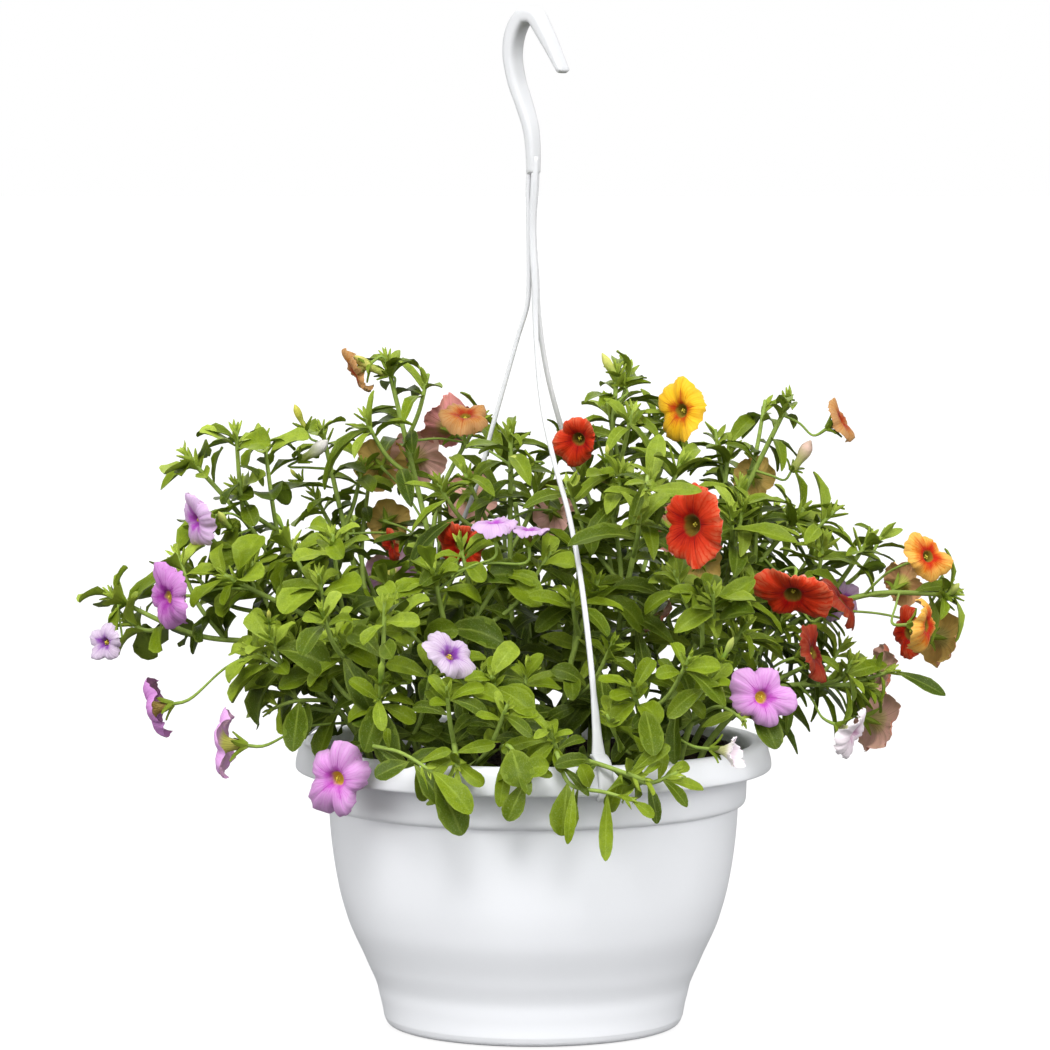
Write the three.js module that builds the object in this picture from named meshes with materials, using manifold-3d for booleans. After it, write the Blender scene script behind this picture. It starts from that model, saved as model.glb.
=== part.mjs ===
// Planted hanging pot: a white plastic pot on a moulded three-strap hanger, with trailing mini petunias.
// Millimetres, +Z up, origin at the middle of the pot's base, the viewer of the photograph on the -Y side.
import * as THREE from 'three';
import { mergeVertices } from 'three/addons/utils/BufferGeometryUtils.js';
import Module from 'manifold-3d';

const wasm = await Module();
wasm.setup();

// Driving dimensions
const SIDES = 28;
const GAP = 0.35;
const WALL_POINTS = [[74.5, 3.2], [92, 50], [105.2, 114.5], [109.7, 118.5], [110.2, 136]];
const SOIL_TOP = [[99, 136.5], [55, 139.5], [0, 140]];
const DRAIN = { count: 5, radius: 5, ring: 50 };
const STRAP = { width: 4.6, thick: 2.4 };
const HOOK_TURN = -40;
const STEM_RADIUS = 1.7;
const TWIG_RADIUS = 1.1;
const STALK_RADIUS = 0.8;
const SOIL_LEVEL = 139;
const ROOT_DEPTH = 13;

// Vectors
const v = (x, y, z) => new THREE.Vector3(x, y, z);
const UP = v(0, 0, 1);

function unit(azimuth, elevation) {
  const a = THREE.MathUtils.degToRad(azimuth);
  const e = THREE.MathUtils.degToRad(elevation);
  return v(Math.sin(a) * Math.cos(e), -Math.cos(a) * Math.cos(e), Math.sin(e));
}

function across(direction, wish) {
  const side = wish.clone().addScaledVector(direction, -wish.dot(direction));
  return side.lengthSq() < 1e-6 ? across(direction, v(0.31, 0.95, 0.05)) : side.normalize();
}

// A seeded draw between 0 and 1 from the stem's number, the leaf's number and the use
function draw(a, b, c) {
  const s = Math.sin(a * 12.9898 + b * 78.233 + c * 37.719) * 43758.5453;
  return s - Math.floor(s);
}

// A closed geometry as a solid, turned to face out
function solid(geometry) {
  const bare = geometry.clone();
  bare.deleteAttribute('normal');
  bare.deleteAttribute('uv');
  const welded = mergeVertices(bare, 1e-4);
  const p = welded.attributes.position.array;
  const at = (i) => v(p[3 * i], p[3 * i + 1], p[3 * i + 2]);
  const tris = [];
  let volume = 0;
  for (let i = 0; i < welded.index.count; i += 3) {
    const [a, b, c] = [0, 1, 2].map((k) => welded.index.array[i + k]);
    if (a === b || b === c || c === a) continue;
    tris.push([a, b, c]);
    volume += at(a).dot(at(b).cross(at(c)));
  }
  const triVerts = new Uint32Array(tris.flatMap((t) => (volume < 0 ? [t[0], t[2], t[1]] : t)));
  return new wasm.Manifold(new wasm.Mesh({ numProp: 3, vertProperties: p, triVerts }));
}

function geometryOf(body) {
  const mesh = body.getMesh();
  const geometry = new THREE.BufferGeometry();
  geometry.setAttribute('position', new THREE.BufferAttribute(mesh.vertProperties, 3));
  geometry.setIndex(new THREE.BufferAttribute(mesh.triVerts, 1));
  return geometry;
}

function turned(profile, sides) {
  const points = profile.map(([r, z]) => new THREE.Vector2(r, z));
  const geometry = new THREE.LatheGeometry(points, sides);
  geometry.rotateX(Math.PI / 2);
  return geometry;
}

// A rail: evenly spaced points on a smooth curve through the way points, and places along it
function rail(path, steps) {
  const curve = new THREE.CatmullRomCurve3(path, false, 'centripetal');
  const points = curve.getSpacedPoints(steps);
  const span = (u) => Math.min(steps - 1, Math.floor(THREE.MathUtils.clamp(u, 0, 1) * steps));
  const at = (u) => points[span(u)].clone().lerp(points[span(u) + 1], u * steps - span(u));
  const along = (u) => curve.getTangentAt(THREE.MathUtils.clamp(u, 0, 1));
  return { curve, steps, points, at, along, length: curve.getLength() };
}

// A bar on a rail; sizeAt gives its width and thickness there, and facing the way its flat side looks
function bar({ curve, steps, points }, section, sizeAt, facing) {
  const tangents = points.map((_, i) => curve.getTangentAt(i / steps));
  const normals = facing
    ? tangents.map((t) => across(t, facing))
    : curve.computeFrenetFrames(steps, false).normals;
  const binormals = tangents.map((t, i) => t.clone().cross(normals[i]));
  curve.computeFrenetFrames = () => ({ tangents, normals, binormals });
  const geometry = new THREE.ExtrudeGeometry(section, { steps, extrudePath: curve, bevelEnabled: false });
  const position = geometry.attributes.position;
  const p = v(0, 0, 0);
  for (let k = 0; k < position.count; k += 1) {
    p.fromBufferAttribute(position, k);
    const far = points.map((c) => c.distanceToSquared(p));
    const ring = far.indexOf(Math.min(...far));
    const away = p.clone().sub(points[ring]);
    const [wide, thick] = sizeAt(ring / steps);
    p.copy(points[ring]).addScaledVector(normals[ring], away.dot(normals[ring]) * thick);
    p.addScaledVector(binormals[ring], away.dot(binormals[ring]) * wide);
    position.setXYZ(k, p.x, p.y, p.z);
  }
  return geometry;
}

function polygon(sides) {
  const shape = new THREE.Shape();
  for (let i = 0; i < sides; i += 1) {
    const a = (2 * Math.PI * i) / sides;
    shape[i ? 'lineTo' : 'moveTo'](Math.cos(a), Math.sin(a));
  }
  shape.closePath();
  return shape;
}

function square() {
  const shape = new THREE.Shape();
  shape.moveTo(-0.5, -0.5);
  shape.lineTo(0.5, -0.5);
  shape.lineTo(0.5, 0.5);
  shape.lineTo(-0.5, 0.5);
  shape.closePath();
  return shape;
}

// Pot: bulging body on a narrower foot, collar, turned-down rim band, drainage holes
function pot() {
  const outside = [
    [0, 0], [74, 0], [77.4, 2.2], [79.6, 12], [87.1, 32], [93.2, 45.5], [98.6, 58.5], [103.8, 79.5],
    [106.7, 101], [107.6, 116.2], [111.6, 118.4], [112.4, 136], [112.9, 146.4], [120, 147], [122.4, 136.5],
    [124.2, 136], [125, 137.6], [122.5, 148.4], [119.6, 150.5], [115.6, 149.4], [114.2, 145],
  ];
  let body = solid(turned([...outside, ...[...WALL_POINTS].reverse(), [0, 3.2]], SIDES));
  for (let i = 0; i < DRAIN.count; i += 1) {
    const hole = new THREE.CylinderGeometry(DRAIN.radius, DRAIN.radius, 12, 8);
    const a = (2 * Math.PI * (i + 0.5)) / DRAIN.count;
    hole.rotateX(Math.PI / 2);
    hole.translate(DRAIN.ring * Math.cos(a), DRAIN.ring * Math.sin(a), 0);
    body = body.subtract(solid(hole));
  }
  return body;
}

// Soil: fills the pot to a low mound, with a plain hole along the foot of each stem
function soil(stems) {
  const side = WALL_POINTS.map(([r, z], i) => [r - GAP, i === 0 ? z + GAP : z]);
  let body = solid(turned([[0, side[0][1]], ...side.slice(0, -1), [109.8, 133.5], ...SOIL_TOP], SIDES));
  for (const { points } of stems) {
    const lean = points[1].clone().sub(points[0]).normalize();
    const foot = rail([-0.5, 28].map((d) => points[0].clone().addScaledVector(lean, d)), 1);
    body = body.subtract(solid(bar(foot, polygon(4), () => [1.75 * STEM_RADIUS, 1.75 * STEM_RADIUS])));
  }
  return body;
}

// Hanger: hook and shank, three straps that part below the bundle, and a clip over the rim on each
const STRAPS = [
  {
    azimuth: 16.8,
    run: [[383, 2.5], [352, 6.5], [326, 16], [300, 36], [274, 62], [246, 81], [210, 97], [176, 108]],
  },
  { azimuth: 136.8, run: [[383, 2.5], [352, 8], [327, 16], [292, 32], [250, 57], [210, 82], [176, 103]] },
  { azimuth: -103.2, run: [[383, 2.5], [360, 9], [315, 22], [283, 31], [250, 46], [210, 76], [176, 103]] },
];
const CLIP = [
  [112.2, 150.3], [115.4, 150.1], [119.6, 151.1], [122.8, 149.6], [125.4, 142], [125.6, 137.4],
  [124.9, 135.5], [121.4, 135.5], [121.4, 133], [126.4, 133], [127.9, 136.4], [127.2, 143], [125, 150.8],
  [121.5, 153.4], [116.6, 157.4], [112.4, 157.4],
];

function hook() {
  const turn = unit(90 + HOOK_TURN, 0);
  const at = (u, z) => v(0, 0, z).addScaledVector(turn, u);
  const path = [[0, 451], [-0.3, 460], [-1.8, 471], [-6.5, 484], [-11.5, 496], [-14.2, 510], [-12, 521.5],
    [-6, 529], [1, 529], [7, 521.5], [13.5, 511.5], [20, 500.5]].map(([u, z]) => at(u, z));
  const thick = (u) => (u < 0.35 ? 5.6 : u < 0.58 ? 5.6 + 14 * (u - 0.35) : 8.8 - 12.5 * (u - 0.58));
  return bar(rail(path, 13), square(), (u) => [11.5 - 2 * u, thick(u)], turn);
}

function strap({ azimuth, run }) {
  const out = unit(azimuth, 0);
  const at = (r, z) => v(0, 0, z).addScaledVector(out, r);
  const path = [at(1.7, 456), at(1.9, 420), ...run.map(([z, r]) => at(r, z)), at(113.6, 154.5)];
  const wide = (u) => STRAP.width * (u > 0.9 ? 1 + (u - 0.9) * 7 : 1);
  return bar(rail(path, 12), square(), (u) => [wide(u), STRAP.thick], out);
}

function clip({ azimuth }) {
  const shape = new THREE.Shape(CLIP.map(([r, z]) => new THREE.Vector2(r, z)));
  const geometry = new THREE.ExtrudeGeometry(shape, { depth: 8, bevelEnabled: false });
  geometry.translate(0, 0, -4);
  geometry.rotateX(Math.PI / 2);
  geometry.rotateZ(THREE.MathUtils.degToRad(azimuth - 90));
  return geometry;
}

function hanger() {
  return wasm.Manifold.union([hook(), ...STRAPS.map(strap), ...STRAPS.map(clip)].map(solid));
}

// Leafy stems: root on the soil, way points, tip; side shoots leave the stem at a share of its length
const STEMS = [
  { leaf: 'round', root: [-72, 12], way: [[-112, 14, 205], [-150, 12, 262]], tip: [-183, 10, 300],
    twigs: [[0.55, [-143, 27, 309]], [0.35, [-150, 50, 236]]] },
  { leaf: 'round', root: [-62, 40], way: [[-92, 44, 225]], tip: [-113, 45, 312],
    twigs: [[0.5, [-88, 70, 286]], [0.4, [-122, 78, 246]]] },
  { leaf: 'round', root: [-86, -12], way: [[-122, -22, 198], [-176, -24, 208]], tip: [-222, -18, 228],
    twigs: [[0.45, [-150, 4, 248]]] },
  { leaf: 'round', root: [-60, -18], way: [[-92, -26, 200]], tip: [-160, -34, 240],
    twigs: [[0.5, [-104, -40, 262]]] },
  { leaf: 'round', root: [-84, -42], way: [[-106, -56, 178]], tip: [-146, -62, 204], twigs: [] },
  { leaf: 'round', root: [-62, -60], way: [[-78, -76, 172]], tip: [-101, -78, 212],
    twigs: [[0.45, [-78, -106, 184]]] },
  { leaf: 'round', root: [-38, -84], way: [[-40, -104, 160]], tip: [-38, -129, 152],
    twigs: [] },
  { leaf: 'round', root: [-30, -36], way: [[-40, -46, 190]], tip: [-52, -62, 246],
    twigs: [[0.5, [-14, -52, 244]]] },
  { leaf: 'round', root: [-14, -74], way: [[-16, -88, 168]], tip: [-21, -112, 196], twigs: [] },
  { leaf: 'round', root: [12, -94], way: [[12, -112, 156]], tip: [8, -126, 170],
    twigs: [[0.5, [56, -134, 146]]] },
  { leaf: 'round', root: [56, -72], way: [[56, -84, 162]], tip: [50, -104, 190],
    twigs: [[0.4, [78, -90, 192]]] },
  { leaf: 'round', root: [14, -44], way: [[18, -48, 190]], tip: [33, -58, 240], twigs: [] },
  { leaf: 'narrow', root: [-34, 18], way: [[-52, 22, 240]], tip: [-78, 30, 350],
    twigs: [[0.55, [-28, 46, 318]]] },
  { leaf: 'narrow', root: [-8, -4], way: [[-12, 2, 230]], tip: [-12, -4, 314],
    twigs: [[0.5, [-36, -14, 292]]] },
  { leaf: 'narrow', root: [30, 6], way: [[36, 10, 240]], tip: [44, 12, 344],
    twigs: [[0.6, [66, 24, 318]]] },
  { leaf: 'narrow', root: [38, -26], way: [[44, -36, 210]], tip: [60, -60, 292],
    twigs: [[0.55, [38, -32, 290]]] },
  { leaf: 'narrow', root: [62, 22], way: [[94, 24, 240]], tip: [136, 20, 330],
    twigs: [[0.55, [104, 38, 304]]] },
  { leaf: 'narrow', root: [66, 0], way: [[96, 2, 212]], tip: [142, 4, 272],
    twigs: [[0.5, [110, -16, 276]]] },
  { leaf: 'narrow', root: [84, 14], way: [[126, 14, 202], [172, 0, 226]], tip: [220, -12, 228],
    twigs: [[0.6, [178, 16, 256]]] },
  { leaf: 'narrow', root: [88, -16], way: [[120, -24, 178]], tip: [174, -26, 182],
    twigs: [[0.5, [150, 2, 192]]] },
  { leaf: 'narrow', root: [76, -42], way: [[88, -52, 182]], tip: [110, -62, 218],
    twigs: [[0.45, [86, -70, 234]]] },
  { leaf: 'narrow', root: [0, 40], way: [[-4, 62, 220]], tip: [-14, 92, 300],
    twigs: [[0.5, [16, 74, 304]], [0.4, [-46, 98, 262]]] },
  { leaf: 'round', root: [-34, 66], way: [[-48, 100, 190]], tip: [-66, 150, 232],
    twigs: [[0.5, [-98, 118, 216]], [0.35, [-30, 128, 206]]] },
  { leaf: 'narrow', root: [34, 62], way: [[50, 98, 198]], tip: [66, 148, 244],
    twigs: [[0.5, [24, 132, 240]], [0.4, [94, 122, 226]]] },
  { leaf: 'narrow', root: [66, 52], way: [[96, 72, 212]], tip: [140, 88, 262],
    twigs: [[0.5, [116, 50, 284]], [0.4, [138, 112, 214]]] },
  { leaf: 'round', root: [4, 84], way: [[6, 118, 176]], tip: [2, 166, 186],
    twigs: [[0.5, [44, 146, 180]]] },
];

// Blooms: stem it grows from, share of the stem, colour, middle of the face, the way it faces, width
const BLOOMS = [
  { stem: 5, at: 0.7, colour: 'pink', face: [-101, -103, 142], look: [-28, -4], wide: 38 },
  { stem: 10, at: 0.8, colour: 'pink', face: [117, -82, 182], look: [18, 10], wide: 36 },
  { stem: 8, at: 0.9, colour: 'pale_lilac', face: [-41, -116, 208], look: [20, 32], wide: 27 },
  { stem: 7, at: 0.9, colour: 'lilac', face: [-20, -62, 270], look: [-10, 78], wide: 25 },
  { stem: 0, at: 0.75, colour: 'lilac', face: [-177, -22, 267], look: [-60, -10], wide: 30 },
  { stem: 3, at: 0.9, colour: 'magenta', face: [-190, -52, 230], look: [-48, 0], wide: 33 },
  { stem: 2, at: 0.97, colour: 'pale_lilac', face: [-222, -44, 206], look: [-28, 5], wide: 20 },
  { stem: 2, at: 0.7, colour: 'magenta', face: [-198, -52, 172], look: [-104, -18], wide: 32 },
  { stem: 4, at: 0.9, colour: 'pink', face: [-160, -84, 158], look: [-97, 2], wide: 37 },
  { stem: 14, at: 0.75, colour: 'red', face: [23, -14, 309], look: [-24, -14], wide: 28 },
  { stem: 14, at: 0.85, colour: 'yellow', face: [76, -8, 324], look: [-40, 4], wide: 34 },
  { stem: 15, at: 0.92, colour: 'red', face: [79, -86, 270], look: [-42, 0], wide: 42 },
  { stem: 16, at: 0.95, colour: 'orange', face: [163, 12, 318], look: [78, 14], wide: 27 },
  { stem: 17, at: 0.6, colour: 'red', face: [133, -58, 231], look: [-8, -42], wide: 38 },
  { stem: 17, at: 0.8, colour: 'red', face: [161, -26, 227], look: [80, 38], wide: 31 },
  { stem: 19, at: 0.4, colour: 'red', face: [145, -56, 202], look: [60, 20], wide: 31 },
  { stem: 18, at: 0.75, colour: 'orange', face: [205, -34, 250], look: [28, -2], wide: 28 },
  { stem: 18, at: 0.85, colour: 'orange', face: [204, -46, 215], look: [70, 0], wide: 28 },
  { stem: 18, at: 0.65, colour: 'orange', face: [196, 16, 232], look: [140, 20], wide: 25 },
  { stem: 18, at: 0.95, colour: 'faded', face: [216, 14, 202], look: [134, -12], wide: 31 },
  { stem: 19, at: 0.85, colour: 'faded', face: [182, -2, 160], look: [128, -14], wide: 34 },
  { stem: 19, at: 0.7, colour: 'blush', face: [166, -52, 159], look: [58, -22], wide: 30 },
  { stem: 10, at: 0.55, colour: 'blush', face: [98, -114, 158], look: [78, -6], wide: 19 },
  { stem: 13, at: 0.9, colour: 'orange', face: [-36, 18, 321], look: [0, 66], wide: 26 },
  { stem: 12, at: 0.8, colour: 'red', face: [-46, 46, 314], look: [-150, 24], wide: 34 },
  { stem: 12, at: 0.7, colour: 'faded', face: [-62, 58, 296], look: [168, 14], wide: 31 },
  { stem: 13, at: 0.7, colour: 'faded', face: [-33, 32, 275], look: [172, -10], wide: 28 },
  { stem: 12, at: 0.92, colour: 'orange', face: [-95, 22, 342], look: [-82, -30], wide: 27 },
  { stem: 22, at: 0.9, colour: 'pink', face: [-82, 172, 222], look: [196, 10], wide: 34 },
  { stem: 23, at: 0.9, colour: 'red', face: [78, 170, 250], look: [168, 12], wide: 34 },
  { stem: 25, at: 0.85, colour: 'lilac', face: [20, 184, 176], look: [176, 4], wide: 30 },
];

// Stem, side shoot and flower stalk as bars that thin towards the tip
function thinning(radius) {
  return (u) => [radius * (1 - 0.45 * u), radius * (1 - 0.45 * u)];
}

function stemPath({ root, way, tip }) {
  const [x, y] = root;
  const low = [-ROOT_DEPTH, -3, 5].map((z) => v(x, y, SOIL_LEVEL + z));
  return [...low, ...way.map((p) => v(...p)), v(...tip)];
}

function twigPath(stem, share, tip) {
  const start = stem.at(share);
  const end = v(...tip);
  const reach = start.distanceTo(end);
  const lead = start.clone().addScaledVector(stem.along(share), reach * 0.25);
  const mid = lead.lerp(start.clone().lerp(end, 0.45), 0.55).addScaledVector(UP, reach * 0.03);
  return [start, mid, end];
}

const TUBE = { reach: 0.36, least: 8 };

function bloomParts(bloom) {
  const n = unit(...bloom.look);
  const depth = Math.max(TUBE.least, bloom.wide * TUBE.reach);
  const seat = v(...bloom.face).addScaledVector(n, -depth);
  return { n, depth, seat };
}

function stalkPath(bloom, start) {
  const { n, seat } = bloomParts(bloom);
  const reach = start.distanceTo(seat);
  const back = seat.clone().addScaledVector(n, -Math.min(9, reach * 0.4));
  return [start, start.clone().lerp(back, 0.55).addScaledVector(UP, reach * 0.06), back, seat];
}

// Calyx: a five-pointed green star around the stalk's end
function calyx({ n, seat, wide }) {
  const cone = new THREE.ConeGeometry(1, 1, 10, 1);
  const position = cone.attributes.position;
  const side = across(n, UP);
  const other = n.clone().cross(side);
  const reach = 4 + wide * 0.11;
  for (let k = 0; k < position.count; k += 1) {
    const [x, y, z] = [position.getX(k), position.getY(k), position.getZ(k)];
    const round = Math.atan2(z, x);
    const rim = Math.hypot(x, z) > 0.5;
    const point = Math.round(round / (Math.PI / 5)) % 2 === 0;
    const r = rim ? (point ? reach : 1.7) : 0;
    const h = rim ? (point ? reach * 0.42 : 0.2) : (y > 0 ? -3.4 : 0);
    const p = seat.clone().addScaledVector(n, h);
    p.addScaledVector(side, r * Math.cos(round)).addScaledVector(other, r * Math.sin(round));
    position.setXYZ(k, p.x, p.y, p.z);
  }
  return cone;
}

// Corolla: a narrow tube that opens into a round face of five shallow lobes
function corolla(bloom) {
  const { n, depth, seat } = bloomParts(bloom);
  const half = bloom.wide / 2;
  const profile = [[0, 0.95], [1, 0.95], [2.3, depth * 0.62], [half * 0.42, depth * 0.86], [half, depth],
    [half * 0.36, depth * 0.95], [0, depth * 0.6]];
  const sides = 10;
  const geometry = turned(profile, sides);
  const position = geometry.attributes.position;
  const side = across(n, UP);
  const other = n.clone().cross(side);
  for (let k = 0; k < position.count; k += 1) {
    const [x, y, z] = [position.getX(k), position.getY(k), position.getZ(k)];
    const r = Math.hypot(x, y);
    const round = Math.atan2(y, x);
    const lobe = Math.cos(5 * round);
    const far = Math.min(1, r / half) ** 3;
    const grown = r * (1 + 0.06 * lobe * far);
    const height = z + far * half * (0.05 * Math.cos(2 * round + bloom.face[0]) - 0.05 * lobe);
    const p = seat.clone().addScaledVector(n, height);
    p.addScaledVector(side, grown * Math.cos(round)).addScaledVector(other, grown * Math.sin(round));
    position.setXYZ(k, p.x, p.y, p.z);
  }
  return geometry;
}

// Leaf: a thin three-edged blade, the midrib below; a round leaf is widest beyond its middle
const LEAVES = {
  round: {
    long: [24, 32], wide: 0.62, rings: [[0, 0], [0.34, 0.66], [0.74, 1], [1, 0]], pitch: 36, droop: 0.26,
  },
  narrow: { long: [27, 36], wide: 0.27, rings: [[0, 0], [0.45, 1], [1, 0]], pitch: 32, droop: 0.16 },
};

function leaf({ start, along, up, long, wide, thick, droop, rings }) {
  const last = rings.length - 1;
  const ball = new THREE.SphereGeometry(1, 3, last);
  const position = ball.attributes.position;
  const side = along.clone().cross(up);
  for (let k = 0; k < position.count; k += 1) {
    const [x, y, z] = [position.getX(k), position.getY(k), position.getZ(k)];
    const ring = Math.round((Math.acos(THREE.MathUtils.clamp(y, -1, 1)) / Math.PI) * last);
    const edge = Math.round(Math.atan2(z, -x) / (2 * Math.PI / 3));
    const [t, girth] = rings[ring];
    const w = (girth * wide) / 2;
    const p = start.clone().addScaledVector(along, t * long).addScaledVector(UP, -droop * long * t * t);
    if (ring % last) p.addScaledVector(side, w * edge).addScaledVector(up, edge ? w * 0.3 : -thick);
    position.setXYZ(k, p.x, p.y, p.z);
  }
  return ball;
}

// Leaves of one shoot: spaced along it in a turning row, then a rosette at the tip; blades face out and up
const ROSETTE = [4, 3, 3];
const ROSETTE_STEP = 2.6;
const HEART = v(0, 70, 150);

function leavesOf(kind, shoot, number, from, crowd) {
  const rule = LEAVES[kind];
  const { length } = shoot;
  const rows = Math.max(1, Math.floor((length * (1 - from)) / rule.pitch));
  const list = [];
  for (let i = 0; i < rows + crowd; i += 1) {
    const place = i - rows;
    const tip = place >= 0;
    const spread = from + ((1 - from) * (i + draw(number, i, 1) * 0.5)) / rows;
    const share = tip ? 1 - ((crowd - place - 0.6) * ROSETTE_STEP) / length : spread;
    const along = shoot.along(share);
    const root = shoot.at(share);
    const turn = THREE.MathUtils.degToRad(i * 137.5 + draw(number, i, 2) * 50 + number * 61);
    const lean = THREE.MathUtils.degToRad(tip ? 68 - place * 11 : 76 - 16 * share);
    const radial = across(along, v(1, 0.2, 0.1)).applyAxisAngle(along, turn);
    const dir = along.clone().multiplyScalar(Math.cos(lean));
    dir.addScaledVector(radial, Math.sin(lean)).normalize();
    const grow = tip ? 0.82 - place * 0.1 : 1;
    const long = THREE.MathUtils.lerp(...rule.long, draw(number, i, 3)) * grow;
    const light = root.clone().sub(HEART).normalize().addScaledVector(UP, 0.4);
    const up = across(dir, light.addScaledVector(radial, draw(number, i, 5) * 0.5 - 0.5));
    list.push({
      start: root, along: dir, up, long, wide: long * rule.wide * (0.9 + 0.2 * draw(number, i, 4)),
      thick: 1.1, droop: rule.droop * (tip ? 0.3 : 1), rings: rule.rings,
    });
  }
  return list;
}

// Bud: a slim closed spindle that ends a shoot
function bud(end, along) {
  const ball = new THREE.SphereGeometry(1, 4, 3);
  ball.scale(1.7, 6, 1.7);
  ball.applyQuaternion(new THREE.Quaternion().setFromUnitVectors(v(0, 1, 0), along));
  ball.translate(...end.clone().addScaledVector(along, 3).toArray());
  return ball;
}

// Everything is placed in turn, and a leaf that would meet another piece is turned, shortened or left out
const placed = [];

function overlapping(a, b) {
  return [0, 1, 2].every((k) => a.min[k] < b.max[k] && b.min[k] < a.max[k]);
}

function clearOf(owner, body) {
  const box = body.boundingBox();
  return placed.every((other) => other.owner === owner || !overlapping(box, other.box)
    || body.intersect(other.body).isEmpty());
}

function place(owner, body) {
  placed.push({ owner, body, box: body.boundingBox() });
  return body;
}

function growLeaf(owner, plan) {
  for (const [turn, size] of [[0, 1], [35, 0.92], [-35, 0.92], [70, 0.8], [-70, 0.8]]) {
    const axis = v(0, 0, 1);
    const a = THREE.MathUtils.degToRad(turn);
    const tried = {
      ...plan,
      along: plan.along.clone().applyAxisAngle(axis, a),
      up: plan.up.clone().applyAxisAngle(axis, a),
      long: plan.long * size,
      wide: plan.wide * size,
    };
    const room = { long: tried.long + 0.8, wide: tried.wide + 1.4, thick: tried.thick + 0.8 };
    const fat = solid(leaf({ ...tried, ...room }));
    if (clearOf(owner, fat)) return place(owner, solid(leaf(tried)));
  }
  return null;
}

// The object
const PAINT = {
  pot: ['#f4f5f7', 0.35], soil: ['#2b211b', 0.95], hanger: ['#f7f7f8', 0.3], round: ['#7fa52f', 0.55],
  narrow: ['#5d8a2c', 0.55], pink: ['#d977c9', 0.6], lilac: ['#cf9be0', 0.6], pale_lilac: ['#e6cdec', 0.6],
  magenta: ['#b453b4', 0.6], red: ['#d8321a', 0.6], orange: ['#f0862a', 0.6], yellow: ['#f6b01c', 0.6],
  faded: ['#a3746a', 0.7], blush: ['#efd3dc', 0.6],
};

function piece(name, body, paint) {
  const [color, roughness] = PAINT[paint];
  const skin = new THREE.MeshStandardMaterial({ color, roughness, metalness: 0 });
  const mesh = new THREE.Mesh(geometryOf(body), skin);
  mesh.name = name;
  return mesh;
}

const number = (i) => String(i + 1).padStart(2, '0');
const basket = new THREE.Group();
basket.add(piece('pot', place('pot', pot()), 'pot'));
const mains = STEMS.map((stem) => rail(stemPath(stem), 8));
basket.add(piece('soil', place('soil', soil(mains)), 'soil'));
basket.add(piece('hanger', place('hanger', hanger()), 'hanger'));

BLOOMS.forEach((bloom, i) => {
  const name = `bloom_${number(i)}`;
  basket.add(piece(name, place(name, solid(corolla(bloom))), bloom.colour));
});

const skeletons = STEMS.map((stem, s) => {
  const name = `stem_${number(s)}`;
  const main = mains[s];
  const twigs = stem.twigs.map(([share, tip]) => rail(twigPath(main, share, tip), 3));
  const parts = [bar(main, polygon(3), thinning(STEM_RADIUS))];
  twigs.forEach((twig) => parts.push(bar(twig, polygon(3), thinning(TWIG_RADIUS))));
  BLOOMS.filter((bloom) => bloom.stem === s).forEach((bloom) => {
    parts.push(bar(rail(stalkPath(bloom, main.at(bloom.at)), 3), polygon(3), thinning(STALK_RADIUS)));
    parts.push(calyx({ ...bloomParts(bloom), wide: bloom.wide }));
  });
  const shoots = [main, ...twigs];
  if (s % 2 === 0) parts.push(bud(shoots.at(-1).at(1), shoots.at(-1).along(1)));
  const bodies = parts.map((part) => place(name, solid(part)));
  return { name, stem, shoots, bodies };
});

skeletons.forEach(({ name, stem, shoots, bodies }, s) => {
  shoots.forEach((shoot, k) => {
    leavesOf(stem.leaf, shoot, s * 4 + k, k === 0 ? 0.36 : 0.5, ROSETTE[k]).forEach((plan) => {
      const body = growLeaf(name, plan);
      if (body) bodies.push(body);
    });
  });
  basket.add(piece(name, wasm.Manifold.union(bodies), stem.leaf));
});

export default basket;
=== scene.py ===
"""Petunia hanging basket: a white plastic pot of trailing mini petunias on a moulded three-strap hanger.

Shapes are worked out in the part's own millimetres and go into the meshes in metres.
"""

import math

import bpy
import numpy as np
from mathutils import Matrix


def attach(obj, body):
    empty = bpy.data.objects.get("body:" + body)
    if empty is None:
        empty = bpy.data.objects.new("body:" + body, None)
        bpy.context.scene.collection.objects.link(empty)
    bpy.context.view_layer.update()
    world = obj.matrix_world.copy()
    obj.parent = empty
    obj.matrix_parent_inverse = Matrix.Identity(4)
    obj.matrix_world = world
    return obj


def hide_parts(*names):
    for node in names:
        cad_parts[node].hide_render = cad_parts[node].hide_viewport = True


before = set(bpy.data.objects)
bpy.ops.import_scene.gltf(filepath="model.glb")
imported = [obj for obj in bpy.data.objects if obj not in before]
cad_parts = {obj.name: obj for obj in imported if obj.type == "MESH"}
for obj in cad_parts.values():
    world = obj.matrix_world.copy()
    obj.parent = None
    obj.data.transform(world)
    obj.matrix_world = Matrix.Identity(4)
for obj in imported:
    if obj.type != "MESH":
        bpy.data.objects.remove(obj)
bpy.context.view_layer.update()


# Pot. One injection-moulded white plastic pot with a satin skin: a bulging body on a narrow foot, a collar
# stepped out above a fine groove, a rim band turned down over the collar, and drainage holes in its base.

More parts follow.
